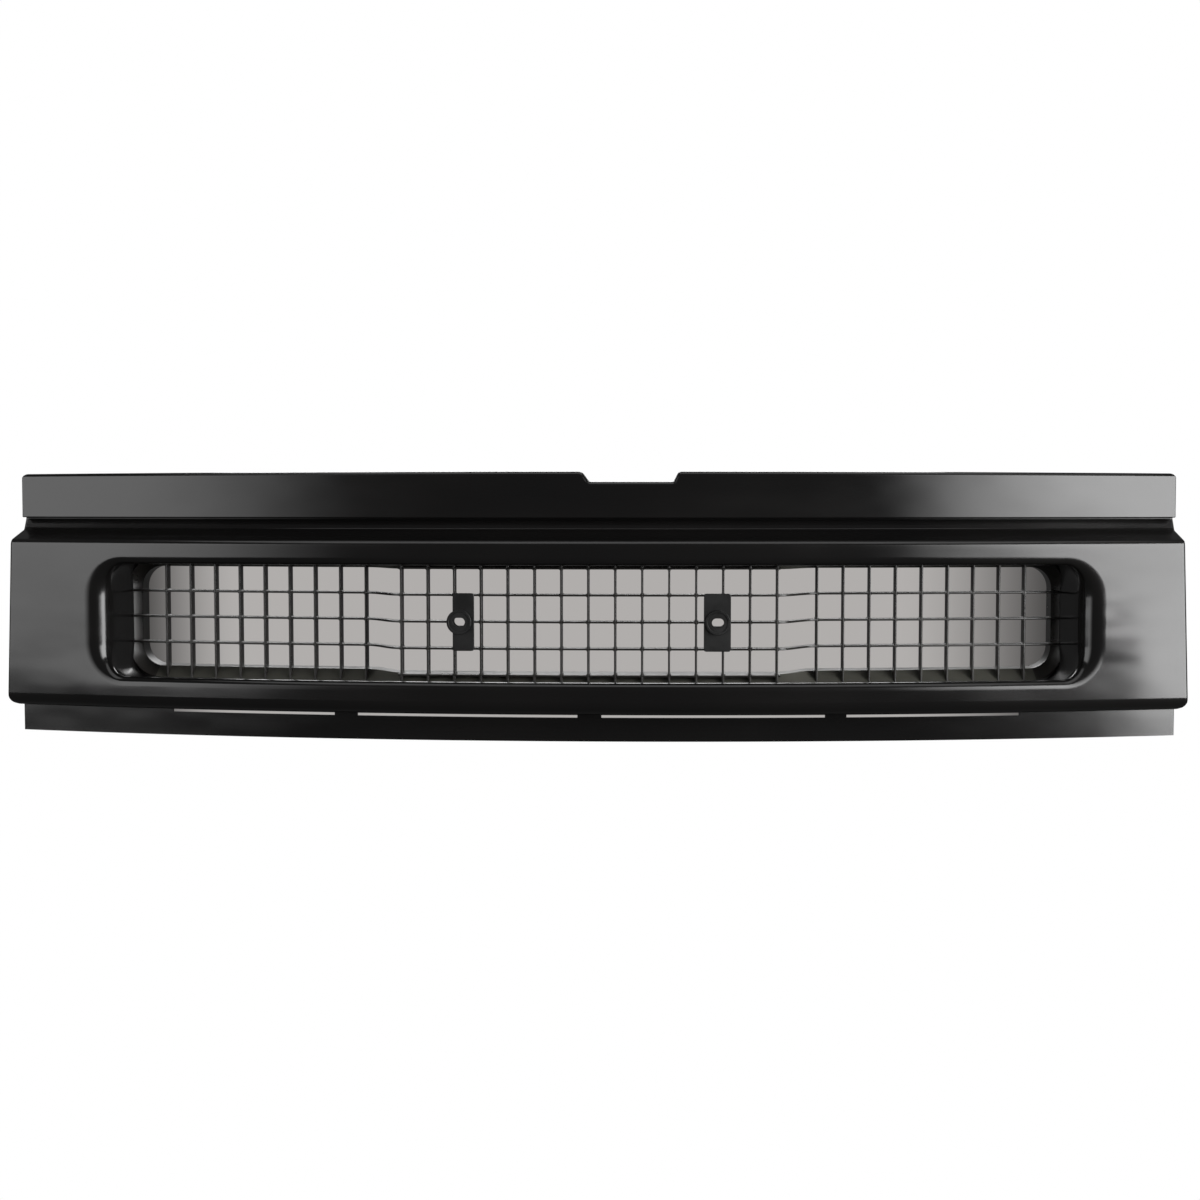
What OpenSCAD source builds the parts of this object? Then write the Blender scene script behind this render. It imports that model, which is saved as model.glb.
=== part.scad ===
/* [Overall] */
// Radius of the plan curve that the whole front follows
plan_r = 2400; // [1800:50:4000]
// Width of the band at its bottom edge
band_w = 1126; // [1100:2:1160]
// Wall thickness of the moulding
wall = 3; // [2.5:0.1:3.2]

/* [Front section] */
// Height of the top lip above the middle of the badge slots
top_z = 139.7; // [135:0.1:145]
// Height of the top flange's lower edge
flange_z = 96.5; // [94:0.5:99]
// Depth of the top lip, from the flange's face to the back
lip_d = 22; // [16:1:26]
// How far the band stands forward of the datum
band_y = -25; // [-28:1:-22]
// Lowest point of the lower flange
bottom_z = -112; // [-118:1:-106]

/* [Recess] */
// Distance from the middle to a corner centre of the recess
recess_core_x = 442; // [436:1:446]
// Corner radius of the recess at the band's face
recess_r = 38; // [34:1:40]
// Fillet radius along the top and bottom of the recess
lip_fillet = 7; // [5:0.5:8]
// Fillet radius at the two ends of the recess
end_fillet = 18.5; // [15:0.5:20]

/* [Mesh] */
// Spacing of the mesh bars, both ways
pitch = 25; // [24:0.5:26]
// Thickness of a mesh bar
bar_t = 2; // [1.6:0.1:2.6]
// Depth of a mesh bar from front to back
bar_d = 13; // [10:0.5:15]
// How far the wings of the mesh lie behind its centre
mesh_step = 33; // [28:1:36]
// Gap between the last centre column and the first wing column
step_gap = 39.6; // [38:0.2:42]
// Depth of the sill's slope behind the mesh's front
sill_run = 12; // [10:0.5:14]
// Whole depth of the sill
sill_d = 33; // [28:1:36]
// Number of centre columns each side of the middle one
centre_n = 7; // [6:1:7]
// Number of wing columns on each side
wing_n = 9; // [8:1:9]

/* [Badge brackets] */
// Distance between the two badge slots
badge_pitch = 240; // [230:1:246]
// Height of a badge slot
slot_h = 8; // [6:0.5:9]
// Length of a badge slot
slot_l = 11; // [9.5:0.5:13]

/* [Fixings] */
// Radius of the fixing holes in the top lip
lip_hole_r = 3.5; // [3:0.1:4]
// Radius of a locating peg
peg_r = 4; // [3.5:0.1:4.5]
// Radius of a rubber bush on a peg
bush_r = 8; // [7:0.5:9]

/* [Hidden] */
$fn = 48;
arc_fn = 720;
big = 1500;
recess_top = 22;
recess_bot = -23;
tunnel_back = 36;
end_x = recess_core_x + recess_r - 1;
end_angle = asin(end_x / (plan_r - band_y));
opening_core_x = 422;
opening_core_z = 28;
centre_end = centre_n * pitch;
wing_start = centre_end + step_gap;
ramp_start = centre_end + (step_gap - mesh_step) / 2;
ramp_end = ramp_start + mesh_step;
mesh_end = 451;
slot_spans = [[-405, -242], [-220, -10.5], [12, 222], [242, 409]];
lip_hole_x = [-430, -150, 150, 430];
screw_x = [-390, -260, -130, 0, 130, 260, 390];
upper_boss_z = 68;
lower_boss_z = -70;
end_boss_z = 30;
end_boss_x = 473;
boss_r = 4.2;
flange_back = tunnel_back + 3;
peg_x = 520;
peg_z = -5;
clip_x = [-450, -231, 231, 450];
plastic = [0.09, 0.09, 0.095];
mesh_colour = [0.13, 0.13, 0.135];
steel = [0.62, 0.63, 0.65];
zinc = [0.72, 0.68, 0.5];
rubber_black = [0.05, 0.05, 0.05];
foam = [0.2, 0.2, 0.21];
felt = [0.3, 0.3, 0.32];

// Set-back of the plan curve at a distance x from the middle, for a surface y behind the datum
function set_back(x, y = 0) = plan_r - sqrt(pow(plan_r - y, 2) - x * x);
// Angle about the curve's centre that puts a point at x on the surface y
function turn(x, y = 0) = asin(x / (plan_r - y));
// Points of a round from angle a to b, both ends included
function arc(c, r, a, b, n = 6) = [for (i = [0:n]) let (t = a + (b - a) * i / n) c + r * [cos(t), sin(t)]];
function unit(v) = v / norm(v);
function left_of(v) = [-v[1], v[0]];
// A path moved sideways by d, mitred at its points
function beside(p, d) = [for (i = [0:len(p) - 1])
    let (a = left_of(unit(i == 0 ? p[1] - p[0] : p[i] - p[i - 1])))
    let (b = left_of(unit(i == len(p) - 1 ? p[i] - p[i - 1] : p[i + 1] - p[i])))
    p[i] + d * (a + b) / (1 + a * b)];
function reversed(p) = [for (i = [len(p) - 1:-1:0]) p[i]];
// Profile points are [depth y, height z]; the curve's axis is at depth plan_r
function swung(p) = [for (q = p) [plan_r - q[0], q[1]]];

// A profile swung along the plan curve between two distances from the middle
module swing(points, x1, x2) {
    a1 = turn(x1);
    a2 = turn(x2);
    translate([0, plan_r, 0])
        rotate([0, 0, a1 - 90])
            rotate_extrude(angle = a2 - a1, $fn = arc_fn)
                polygon(swung(points));
}

// Places children in the frame that faces the curve's centre, at the angle a
module faced(a) {
    translate([0, plan_r, 0])
        rotate([0, 0, a])
            translate([0, -plan_r, 0])
                children();
}

// Places children on the curve at a distance x from the middle
module at_x(x) {
    faced(turn(x)) children();
}

// A long rounded window along the curve. Each point of rule is [depth, radius about the core].
module window_solid(core_x, zt, zb, rule) {
    last = len(rule) - 1;
    top_line = [for (q = rule) [q[0], zt + q[1]]];
    low_line = [for (q = reversed(rule)) [q[0], zb - q[1]]];
    plan = concat([[0, rule[last][0]], [0, rule[0][0]]], [for (q = rule) [q[1], q[0]]]);
    swing(concat(top_line, low_line), -core_x, core_x);
    for (side = [0, 1])
        mirror([side, 0, 0])
            at_x(core_x) {
                translate([0, 0, zb]) linear_extrude(zt - zb) polygon(plan);
                translate([0, 0, zt]) rotate([-90, 0, 0]) rotate([0, 0, -90])
                    rotate_extrude(angle = 90) polygon(plan);
                translate([0, 0, zb]) rotate([-90, 0, 0])
                    rotate_extrude(angle = 90) polygon(plan);
            }
}

// The band's depth limits for the rounded ends of the recess, grown by g
module end_trumpet(g) {
    centre = [0, band_y + end_fillet];
    curve = arc(centre, end_fillet - g, -90, -180, 10);
    wall_x = curve[len(curve) - 1][0];
    intersection_for (side = [0, 1])
        mirror([side, 0, 0])
            faced(end_angle)
                translate([0, 0, -big / 2]) linear_extrude(big)
                    polygon(concat([[-big, -big], [0, -big]], curve, [[wall_x, big], [-big, big]]));
}

// The space inside the recess when g is 0, or the outside of its wall when g is the wall
module recess_space(g, front, back) {
    centre = [band_y + lip_fillet, recess_r];
    lip = [for (q = arc(centre, lip_fillet - g, 180, 270, 6)) [q[0], q[1]]];
    intersection() {
        window_solid(recess_core_x, recess_top, recess_bot,
            concat([[front, recess_r]], lip,
                [[3, recess_r - 1 + g], [back, recess_r - 1 + g]]));
        end_trumpet(g);
    }
}

// Outside line of the front section, from the back of the top lip to the lower flange's edge
function front_line() = concat(
    [[5 + lip_d, top_z]],
    arc([9.5, top_z - 4.5], 4.5, 90, 180, 5),
    [[5, flange_z], [12, flange_z], [12, flange_z - 11], [8, flange_z - 11.5]],
    arc([band_y + 7, 70.6], 7, 106, 180, 5),
    [[band_y, -70]],
    arc([band_y + 9, -74], 9, 180, 262, 6),
    [[8, -85.5], [8, bottom_z]]);

module front_skin() {
    line = front_line();
    swing(concat(line, reversed(beside(line, wall))), -620, 620);
}

// Front-view outline of everything: the band flares, and the two flanges are shorter
module end_trim() {
    half = band_w / 2;
    rotate([90, 0, 0]) translate([0, 0, -big / 2]) linear_extrude(big)
        polygon(concat(
            [[-556, 200], [-556, flange_z - 13], [-half + 8, 74], [-half, -82.5], [-560, -84], [-560, -200]],
            [[560, -200], [560, -84], [half, -82.5], [half - 8, 74], [556, flange_z - 13], [556, 200]]));
}

// The end wall that closes the band, and the rib that carries a locating peg
module end_cheek() {
    half = band_w / 2;
    section = concat([[band_y + 1, 69], [8, 82]], [[30, 82], [30, -82]], [[-14, -81], [band_y + 1, -72]]);
    intersection() {
        swing(section, 500, 620);
        rotate([90, 0, 0]) translate([0, 0, -big / 2]) linear_extrude(big)
            polygon([[half - 8 - wall, 90], [half - 8 + 1, 90], [half + 1, -90], [half - wall, -90]]);
    }
}

module peg_rib() {
    y0 = set_back(peg_x, band_y) + 1;
    translate([peg_x - 1.5, y0, -80]) cube([3, 88 - y0, 153]);
    translate([peg_x, 78, peg_z]) rotate([-90, 0, 0]) cylinder(r = 11, h = 10);
    translate([peg_x, 86, peg_z]) rotate([-90, 0, 0]) cylinder(r = peg_r, h = 24);
}

// Stiffening rib between the recess wall and the shelf above, or the band's bottom below
module rib_pair(x) {
    upper = [[band_y + 1.5, 61.5], [band_y + 1.5, 70], [-19, 74.2], [9, 82.5], [20, 82.5], [30, 61.5]];
    lower = [[band_y + 1.5, -62.5], [30, -62.5], [20, -83.5], [9, -83.5], [-15, -81.5], [band_y + 1.5, -74]];
    at_x(x) {
        translate([1, 0, 0]) rotate([0, -90, 0]) linear_extrude(2) polygon([for (q = upper) [q[1], q[0]]]);
        translate([1, 0, 0]) rotate([0, -90, 0]) linear_extrude(2) polygon([for (q = lower) [q[1], q[0]]]);
    }
}

module boss(x, z, front) {
    at_x(x) translate([0, front, z]) rotate([-90, 0, 0]) cylinder(r = boss_r, h = tunnel_back - front);
}

// Web between a boss and the recess wall, whose outside is at the height root
module boss_web(x, z, root) {
    at_x(x) translate([-1, 0, min(z, root)]) cube([2, tunnel_back - 1, abs(z - root)]);
}

module boss_pilot(x, z) {
    at_x(x) translate([0, tunnel_back - 15, z]) rotate([-90, 0, 0]) cylinder(r = 1.6, h = 16);
}

module surround() color(plastic)
    difference() {
        union() {
            intersection() {
                front_skin();
                end_trim();
            }
            difference() {
                recess_space(2.6, band_y + 0.5, tunnel_back);
                recess_space(0, band_y - 5, tunnel_back + 5);
            }
            for (side = [0, 1])
                mirror([side, 0, 0]) {
                    end_cheek();
                    peg_rib();
                    for (z = [-end_boss_z, end_boss_z])
                        boss(end_boss_x, z, band_y + 1);
                }
            for (x = screw_x) {
                boss(x, upper_boss_z, 0);
                boss(x, lower_boss_z, 0);
                boss_web(x, upper_boss_z, 61);
                boss_web(x, lower_boss_z, -62);
            }
            for (x = screw_x) {
                rib_pair(x - 35);
                rib_pair(x + 35);
            }
        }
        recess_space(0, band_y - 5, 10);
        for (x = screw_x) {
            boss_pilot(x, upper_boss_z);
            boss_pilot(x, lower_boss_z);
        }
        for (x = [-end_boss_x, end_boss_x], z = [-end_boss_z, end_boss_z])
            boss_pilot(x, z);
        latch_notch();
        for (s = slot_spans)
            swing([[4, -90], [16, -90], [16, -84.2], [4, -84.2]], s[0], s[1]);
        for (x = lip_hole_x)
            translate([x, set_back(x, 17), top_z - 6]) cylinder(r = lip_hole_r, h = 12);
    }

// The notch in the top edge, off centre, with sloping sides
module latch_notch() {
    rotate([90, 0, 0]) translate([0, 0, -60]) linear_extrude(90)
        polygon([[-6, top_z + 2], [-5, top_z], [1.8, 130.2], [80.5, 130.2], [85.5, top_z], [86.5, top_z + 2]]);
}

// The centre panel's stretch of a row
module centre_bar(z) {
    h = bar_t / 2;
    swing([[0, z - h], [bar_d, z - h], [bar_d, z + h], [0, z + h]], -ramp_start - 0.5, ramp_start + 0.5);
}

// A row's two ramps and its stretch along the wings
module wing_bars(z) {
    h = bar_t / 2;
    for (side = [0, 1])
        mirror([side, 0, 0]) {
            y1 = set_back(ramp_start);
            y2 = set_back(ramp_end, mesh_step);
            translate([0, 0, z - h]) linear_extrude(bar_t)
                polygon([[ramp_start - 1, y1 + 0.3], [ramp_start, y1 + 0.3], [ramp_end, y2 + 0.3],
                    [ramp_end, y2 + bar_d - 0.3], [ramp_start - 1, y1 + bar_d - 0.3]]);
            swing([for (q = [[0, z - h], [bar_d, z - h], [bar_d, z + h], [0, z + h]]) q + [mesh_step, 0]],
                ramp_end - 0.5, mesh_end);
        }
}

// The passage through the mesh behind a badge slot
module badge_passage(x) {
    translate([x, 0, 0]) slot_cut(slot_l + 2.5, slot_h + 2);
}

// A vertical bar, its edges just inside those of the rows
module upright(x, depth) {
    translate([x - bar_t / 2, set_back(x, depth) + 0.3, -58.3]) cube([bar_t, bar_d - 0.6, 116.6]);
}

// Rear frame of the wings: a funnel that narrows to the air opening, and its fixing flange
module wing_funnel(g) {
    window_solid(opening_core_x, opening_core_z, -opening_core_z,
        g == 0
            ? [[mesh_step - 4, 33], [mesh_step + sill_run, 21], [mesh_step + sill_d + 10, 21]]
            : [[mesh_step, 30 + g], [mesh_step + sill_run, 21 + g], [mesh_step + sill_d, 21 + g]]);
}

module fixing_flange() {
    window_solid(recess_core_x, recess_top, recess_bot, [[tunnel_back, 52.5], [flange_back, 52.5]]);
}

// Section of the sill: a slope inwards and then a flat; s is 1 above the mesh and -1 below it
function sill_section(s) = [[0, s * 57], [sill_run, s * 48.7], [sill_d, s * 48.7], [sill_d, s * 50.7],
    [sill_run + 0.8, s * 50.7], [0, s * 59.4]];

// The sill above or below the centre panel, with the wall that joins it to the fixing flange
module centre_sill(s) {
    swing(sill_section(s), -ramp_start - 1, ramp_start + 1);
    swing([[0, s * 57.4], [flange_back, s * 57.4], [flange_back, s * 59.4], [0, s * 59.4]], -ramp_end, ramp_end);
}

// The sill where the mesh steps back: the centre sill's section run along the ramp
module ramp_sill(s) {
    y1 = set_back(ramp_start);
    rise = set_back(ramp_end, mesh_step) - y1;
    slope = atan2(rise, ramp_end - ramp_start);
    section = sill_section(s);
    intersection() {
        translate([ramp_start, y1, 0]) rotate([0, 0, slope]) translate([-60, 0, 0])
            rotate([90, 0, 90]) linear_extrude(180)
                polygon([for (q = section) [q[0] * cos(slope), q[1]]]);
        translate([ramp_start, -50, -100]) cube([ramp_end - ramp_start + 1, 200, 200]);
    }
}

module insert_frame() {
    difference() {
        union() {
            wing_funnel(2);
            fixing_flange();
        }
        wing_funnel(0);
        // Room for the centre panel, which stands forward of the wings
        swing([[-10, -57], [60, -57], [60, 57], [-10, 57]], -ramp_end, ramp_end);
    }
    for (s = [-1, 1]) {
        centre_sill(s);
        for (side = [0, 1])
            mirror([side, 0, 0]) ramp_sill(s);
    }
}

module screw_clearance(x, z) {
    at_x(x) translate([0, tunnel_back - 1, z]) rotate([-90, 0, 0]) cylinder(r = 2.4, h = 6);
}

module mesh_insert() color(mesh_colour) {
    difference() {
        insert_frame();
        for (x = screw_x) {
            screw_clearance(x, upper_boss_z);
            screw_clearance(x, lower_boss_z);
        }
        for (x = [-end_boss_x, end_boss_x], z = [-end_boss_z, end_boss_z])
            screw_clearance(x, z);
    }
    difference() {
        union() {
            for (row = [-2:2])
                centre_bar(row * pitch);
            for (i = [-centre_n:centre_n])
                upright(i * pitch, 0);
        }
        badge_passage(-badge_pitch / 2 - 0.8);
        badge_passage(badge_pitch / 2 + 0.3);
    }
    for (row = [-1:1])
        wing_bars(row * pitch);
    for (side = [-1, 1], i = [0:wing_n - 1])
        upright(side * (wing_start + i * pitch), mesh_step);
}

// A badge bracket plate, from x1 to x2, with its ringed slot and two screw posts behind
module bracket(x1, x2, slot_x, post_x) {
    difference() {
        union() {
            translate([x1, 0.3, -27]) cube([x2 - x1, 2, 54]);
            translate([slot_x, 2.3, 0]) rotate([90, 0, 0]) cylinder(r = 11.5, h = 4);
            for (z = [-17, 17])
                translate([post_x, 1, z]) rotate([-90, 0, 0]) cylinder(r = 3.4, h = 15.4);
        }
        translate([slot_x, 0, 0]) slot_cut(slot_l, slot_h);
        translate([slot_x, -0.9, 0]) rotate([90, 0, 0]) cylinder(r = 9.3, h = 4);
        for (z = [-17, 17])
            translate([post_x, 4, z]) rotate([-90, 0, 0]) cylinder(r = 1.2, h = 20);
    }
}

module slot_cut(l, h) {
    straight = l - h;
    rotate([90, 0, 0]) translate([0, 0, -30]) linear_extrude(60)
        union() {
            square([straight, h], center = true);
            for (s = [-1, 1])
                translate([s * straight / 2, 0]) circle(d = h);
        }
}

module badge_bracket_left() color(plastic)
    bracket(-126, -106, -badge_pitch / 2, -112.3);

module badge_bracket_right() color(plastic)
    bracket(107, 132, badge_pitch / 2, 112.3);

// The clamp plate behind the mesh that a bracket is screwed to, hidden by it from the front
module clamp(x1, x2, slot_x, post_x) {
    difference() {
        translate([x1, 17.2, -26]) cube([x2 - x1, 2.5, 52]);
        translate([slot_x, 0, 0]) slot_cut(14, 10);
        for (z = [-17, 17])
            translate([post_x, 10, z]) rotate([-90, 0, 0]) cylinder(r = 1.7, h = 20);
    }
}

module bracket_clamp_left() color(plastic)
    clamp(-127.5, -108, -badge_pitch / 2 - 2.5, -112.3);

module bracket_clamp_right() color(plastic)
    clamp(107.8, 131.5, badge_pitch / 2 + 0.8, 112.3);

// A pan-head screw that points forward, its head's seat at y 0
module screw(r, head_r, head_h, l) {
    rotate([90, 0, 0]) cylinder(r = r, h = l);
    difference() {
        rotate([-90, 0, 0]) cylinder(r1 = head_r, r2 = head_r * 0.72, h = head_h);
        for (a = [0, 90])
            translate([0, head_h, 0]) rotate([0, a, 0]) cube([head_r, head_h, 0.9], center = true);
    }
}

module bracket_screws() color(steel)
    for (x = [-112.3, 112.3], z = [-17, 17])
        translate([x, 19.75, z]) screw(1.15, 3.1, 2, 12);

module insert_screw(x, z) {
    at_x(x) translate([0, flange_back + 0.05, z]) screw(1.55, 4, 2.6, 14);
}

module upper_insert_screws() color(steel)
    for (x = screw_x) insert_screw(x, upper_boss_z);

module lower_insert_screws() color(steel)
    for (x = screw_x) insert_screw(x, lower_boss_z);

module end_insert_screws() color(steel)
    for (x = [-end_boss_x, end_boss_x], z = [-end_boss_z, end_boss_z]) insert_screw(x, z);

// A steel arrow clip on the lower flange's back, between two drain slots
module spring_clip() {
    front = 11.05;
    nose = front + 20;
    rotate([0, -90, 0]) translate([0, 0, -5])
        linear_extrude(10)
            polygon([[-108, front], [-90, front], [-90, front + 1], [-98, front + 1], [-98.6, nose - 6],
                [-96.5, nose - 7], [-99.2, nose], [-101.9, nose - 7], [-99.8, nose - 6], [-99.2, front + 1],
                [-108, front + 1]]);
}

module lower_spring_clips() color(zinc)
    for (x = clip_x) at_x(x) spring_clip();

module locating_bush() {
    translate([peg_x, 88.05, peg_z]) rotate([-90, 0, 0])
        difference() {
            union() {
                cylinder(r = bush_r, h = 12);
                cylinder(r = bush_r + 3, h = 2.5);
            }
            translate([0, 0, -1]) cylinder(r = peg_r + 0.05, h = 20);
        }
}

module locating_bush_left() color(rubber_black)
    mirror([1, 0, 0]) locating_bush();

module locating_bush_right() color(rubber_black)
    locating_bush();

// Foam strip stuck under the top lip's edge, stopped short of the notch
module top_seal(x1, x2) {
    z = top_z - wall - 0.05;
    swing([[9.2, z - 5], [9.2, z - 14], [14, z - 14], [14, z - 5]], x1, x2);
}

module top_seal_left() color(foam)
    top_seal(-545, -20);

module top_seal_right() color(foam)
    top_seal(100, 545);

module bottom_seal() color(foam)
    swing([[11.05, -110.5], [15, -110.5], [15, -109], [11.05, -109]], -540, 540);

// Felt pad on the outside of an end wall, against the neighbouring lamp
module end_pad() {
    half = band_w / 2;
    intersection() {
        swing([[-2, 40], [24, 40], [24, -50], [-2, -50]], 500, 640);
        rotate([90, 0, 0]) translate([0, 0, -big / 2]) linear_extrude(big)
            polygon([[half - 7.95, 74], [half - 6.5, 74], [half + 1.5, -83], [half + 0.05, -83]]);
    }
}

module end_pad_left() color(felt)
    mirror([1, 0, 0]) end_pad();

module end_pad_right() color(felt)
    end_pad();

surround();
mesh_insert();
badge_bracket_left();
badge_bracket_right();
bracket_clamp_left();
bracket_clamp_right();
bracket_screws();
upper_insert_screws();
lower_insert_screws();
end_insert_screws();
lower_spring_clips();
locating_bush_left();
locating_bush_right();
top_seal_left();
top_seal_right();
bottom_seal();
end_pad_left();
end_pad_right();
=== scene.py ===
"""Looks of a fixed front grille: a gloss surround, a stepped mesh insert and their fixings."""

import logging
import math
from dataclasses import dataclass, field
from enum import Enum
from typing import Callable, Sequence

import bmesh
import bpy
import numpy as np
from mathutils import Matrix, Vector

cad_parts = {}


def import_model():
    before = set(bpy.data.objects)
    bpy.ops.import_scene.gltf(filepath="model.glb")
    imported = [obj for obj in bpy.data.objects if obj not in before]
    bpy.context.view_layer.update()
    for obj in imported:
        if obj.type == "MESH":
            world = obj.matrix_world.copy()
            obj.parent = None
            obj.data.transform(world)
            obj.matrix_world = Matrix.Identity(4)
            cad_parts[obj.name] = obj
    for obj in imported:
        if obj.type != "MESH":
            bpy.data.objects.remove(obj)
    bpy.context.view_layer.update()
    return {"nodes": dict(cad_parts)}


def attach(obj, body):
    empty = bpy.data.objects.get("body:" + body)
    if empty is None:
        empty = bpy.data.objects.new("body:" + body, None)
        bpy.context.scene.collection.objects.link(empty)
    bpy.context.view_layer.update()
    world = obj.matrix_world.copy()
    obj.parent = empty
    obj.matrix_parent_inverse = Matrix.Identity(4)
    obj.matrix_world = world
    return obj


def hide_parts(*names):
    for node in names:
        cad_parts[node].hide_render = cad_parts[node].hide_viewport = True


LOG = logging.getLogger("grille")
MM = 0.001
Point2 = tuple[float, float]
Corner = tuple[float, float, float]


class Slot(Enum):
    """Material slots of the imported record."""

    GLOSS = "gloss_moulding"
    MESH = "mesh_moulding"
    BRACKET = "bracket_moulding"
    SCREW = "screw_steel"
    CLIP = "clip_steel"
    BUSH = "bush_rubber"
    SEAL = "seal_foam"
    PAD = "pad_felt"


class Side(Enum):
    """The two ends of the grille."""

    LEFT = -1
    RIGHT = 1


class Grain(Enum):
    """Kinds of fine relief."""

    NOISE = "ShaderNodeTexNoise"
    CELLS = "ShaderNodeTexVoronoi"


def linear(code: str) -> tuple[float, float, float, float]:
    """Turns an sRGB hex code into linear red, green, blue and alpha.

    Args:
        code: six hex digits with a leading hash.

    Returns:
        The colour that shaders use.
    """
    parts = [int(code[i : i + 2], 16) / 255 for i in (1, 3, 5)]
    out = [p / 12.92 if p <= 0.04045 else ((p + 0.055) / 1.055) ** 2.4 for p in parts]
    return (out[0], out[1], out[2], 1.0)


def add_node(
    tree: bpy.types.NodeTree,
    kind: str,
    settings: dict[str, object] | None = None,
    links: dict[str | int, bpy.types.NodeSocket] | None = None,
    **attributes: object,
) -> bpy.types.Node:
    """Adds a node with its values and its incoming links.

    Args:
        tree: the tree that gets the node.
        kind: the node's type name.
        settings: socket values by input name or number.
        links: sockets to join, by input name or number.
        attributes: the node's own properties.

    Returns:
        The new node.
    """
    made = tree.nodes.new(kind)
    for key, value in attributes.items():
        setattr(made, key, value)
    for key, value in (settings or {}).items():
        made.inputs[key].default_value = value
    for key, source in (links or {}).items():
        tree.links.new(source, made.inputs[key])
    return made


# ---------------------------------------------------------------- finishes


@dataclass(frozen=True)
class Finish:
    """A procedural surface: two tones, a roughness range, large flow marks and fine grain."""

    name: str
    base: str
    second: str
    rough: Point2
    metallic: float = 0.0
    patch_mm: float = 90.0
    stretch: tuple[float, float, float] = (1.0, 1.0, 1.0)
    grain: Grain = Grain.NOISE
    grain_mm: float = 0.6
    grain_depth_mm: float = 0.004
    wave_mm: float = 160.0
    wave_depth_mm: float = 0.0
    sheen: float = 0.0

    def texture(
        self, tree: bpy.types.NodeTree, at: bpy.types.NodeSocket, size_mm: float, kind: Grain
    ) -> bpy.types.NodeSocket:
        """Adds one pattern whose features are about size_mm across.

        Args:
            tree: the material's tree.
            at: the coordinates.
            size_mm: the size of a feature.
            kind: noise or cells.

        Returns:
            The pattern's value from 0 to 1.
        """
        scale = 1 / (size_mm * MM)
        if kind is Grain.CELLS:
            return add_node(tree, kind.value, {"Scale": scale}, {"Vector": at}).outputs["Distance"]
        made = add_node(tree, kind.value, {"Scale": scale, "Detail": 3.0}, {"Vector": at})
        return made.outputs["Fac"]

    def bump(
        self,
        tree: bpy.types.NodeTree,
        height: bpy.types.NodeSocket,
        depth_mm: float,
        under: bpy.types.NodeSocket | None = None,
    ) -> bpy.types.NodeSocket:
        """Turns a pattern into relief.

        Args:
            tree: the material's tree.
            height: the pattern.
            depth_mm: how deep it is.
            under: relief that it lies on.

        Returns:
            The surface's normal.
        """
        links = {"Height": height}
        if under is not None:
            links["Normal"] = under
        made = add_node(
            tree, "ShaderNodeBump", {"Strength": 1.0, "Distance": depth_mm * MM}, links
        )
        return made.outputs["Normal"]

    def build(self) -> bpy.types.Material:
        """Makes the material.

        Returns:
            A material whose patterns ride on the object's own coordinates.
        """
        material = bpy.data.materials.new(self.name)
        material.use_nodes = True
        tree = material.node_tree
        tree.nodes.clear()
        place = add_node(tree, "ShaderNodeTexCoord").outputs["Object"]
        spread = add_node(
            tree, "ShaderNodeMapping", {"Scale": self.stretch}, {"Vector": place}
        ).outputs["Vector"]
        patches = self.texture(tree, spread, self.patch_mm, Grain.NOISE)
        tone = add_node(
            tree,
            "ShaderNodeMix",
            {6: linear(self.base), 7: linear(self.second)},
            {0: patches},
            data_type="RGBA",
        ).outputs[2]
        rough = add_node(
            tree,
            "ShaderNodeMapRange",
            {"From Min": 0.35, "From Max": 0.65, "To Min": self.rough[0], "To Max": self.rough[1]},
            {"Value": patches},
        ).outputs["Result"]
        relief = None
        if self.wave_depth_mm:
            wave = self.texture(tree, spread, self.wave_mm, Grain.NOISE)
            relief = self.bump(tree, wave, self.wave_depth_mm)
        fine = self.texture(tree, place, self.grain_mm, self.grain)
        relief = self.bump(tree, fine, self.grain_depth_mm, relief)
        shader = add_node(
            tree,
            "ShaderNodeBsdfPrincipled",
            {"Metallic": self.metallic, "Sheen Weight": self.sheen},
            {"Base Color": tone, "Roughness": rough, "Normal": relief},
        )
        add_node(tree, "ShaderNodeOutputMaterial", None, {"Surface": shader.outputs["BSDF"]})
        return material


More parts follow.
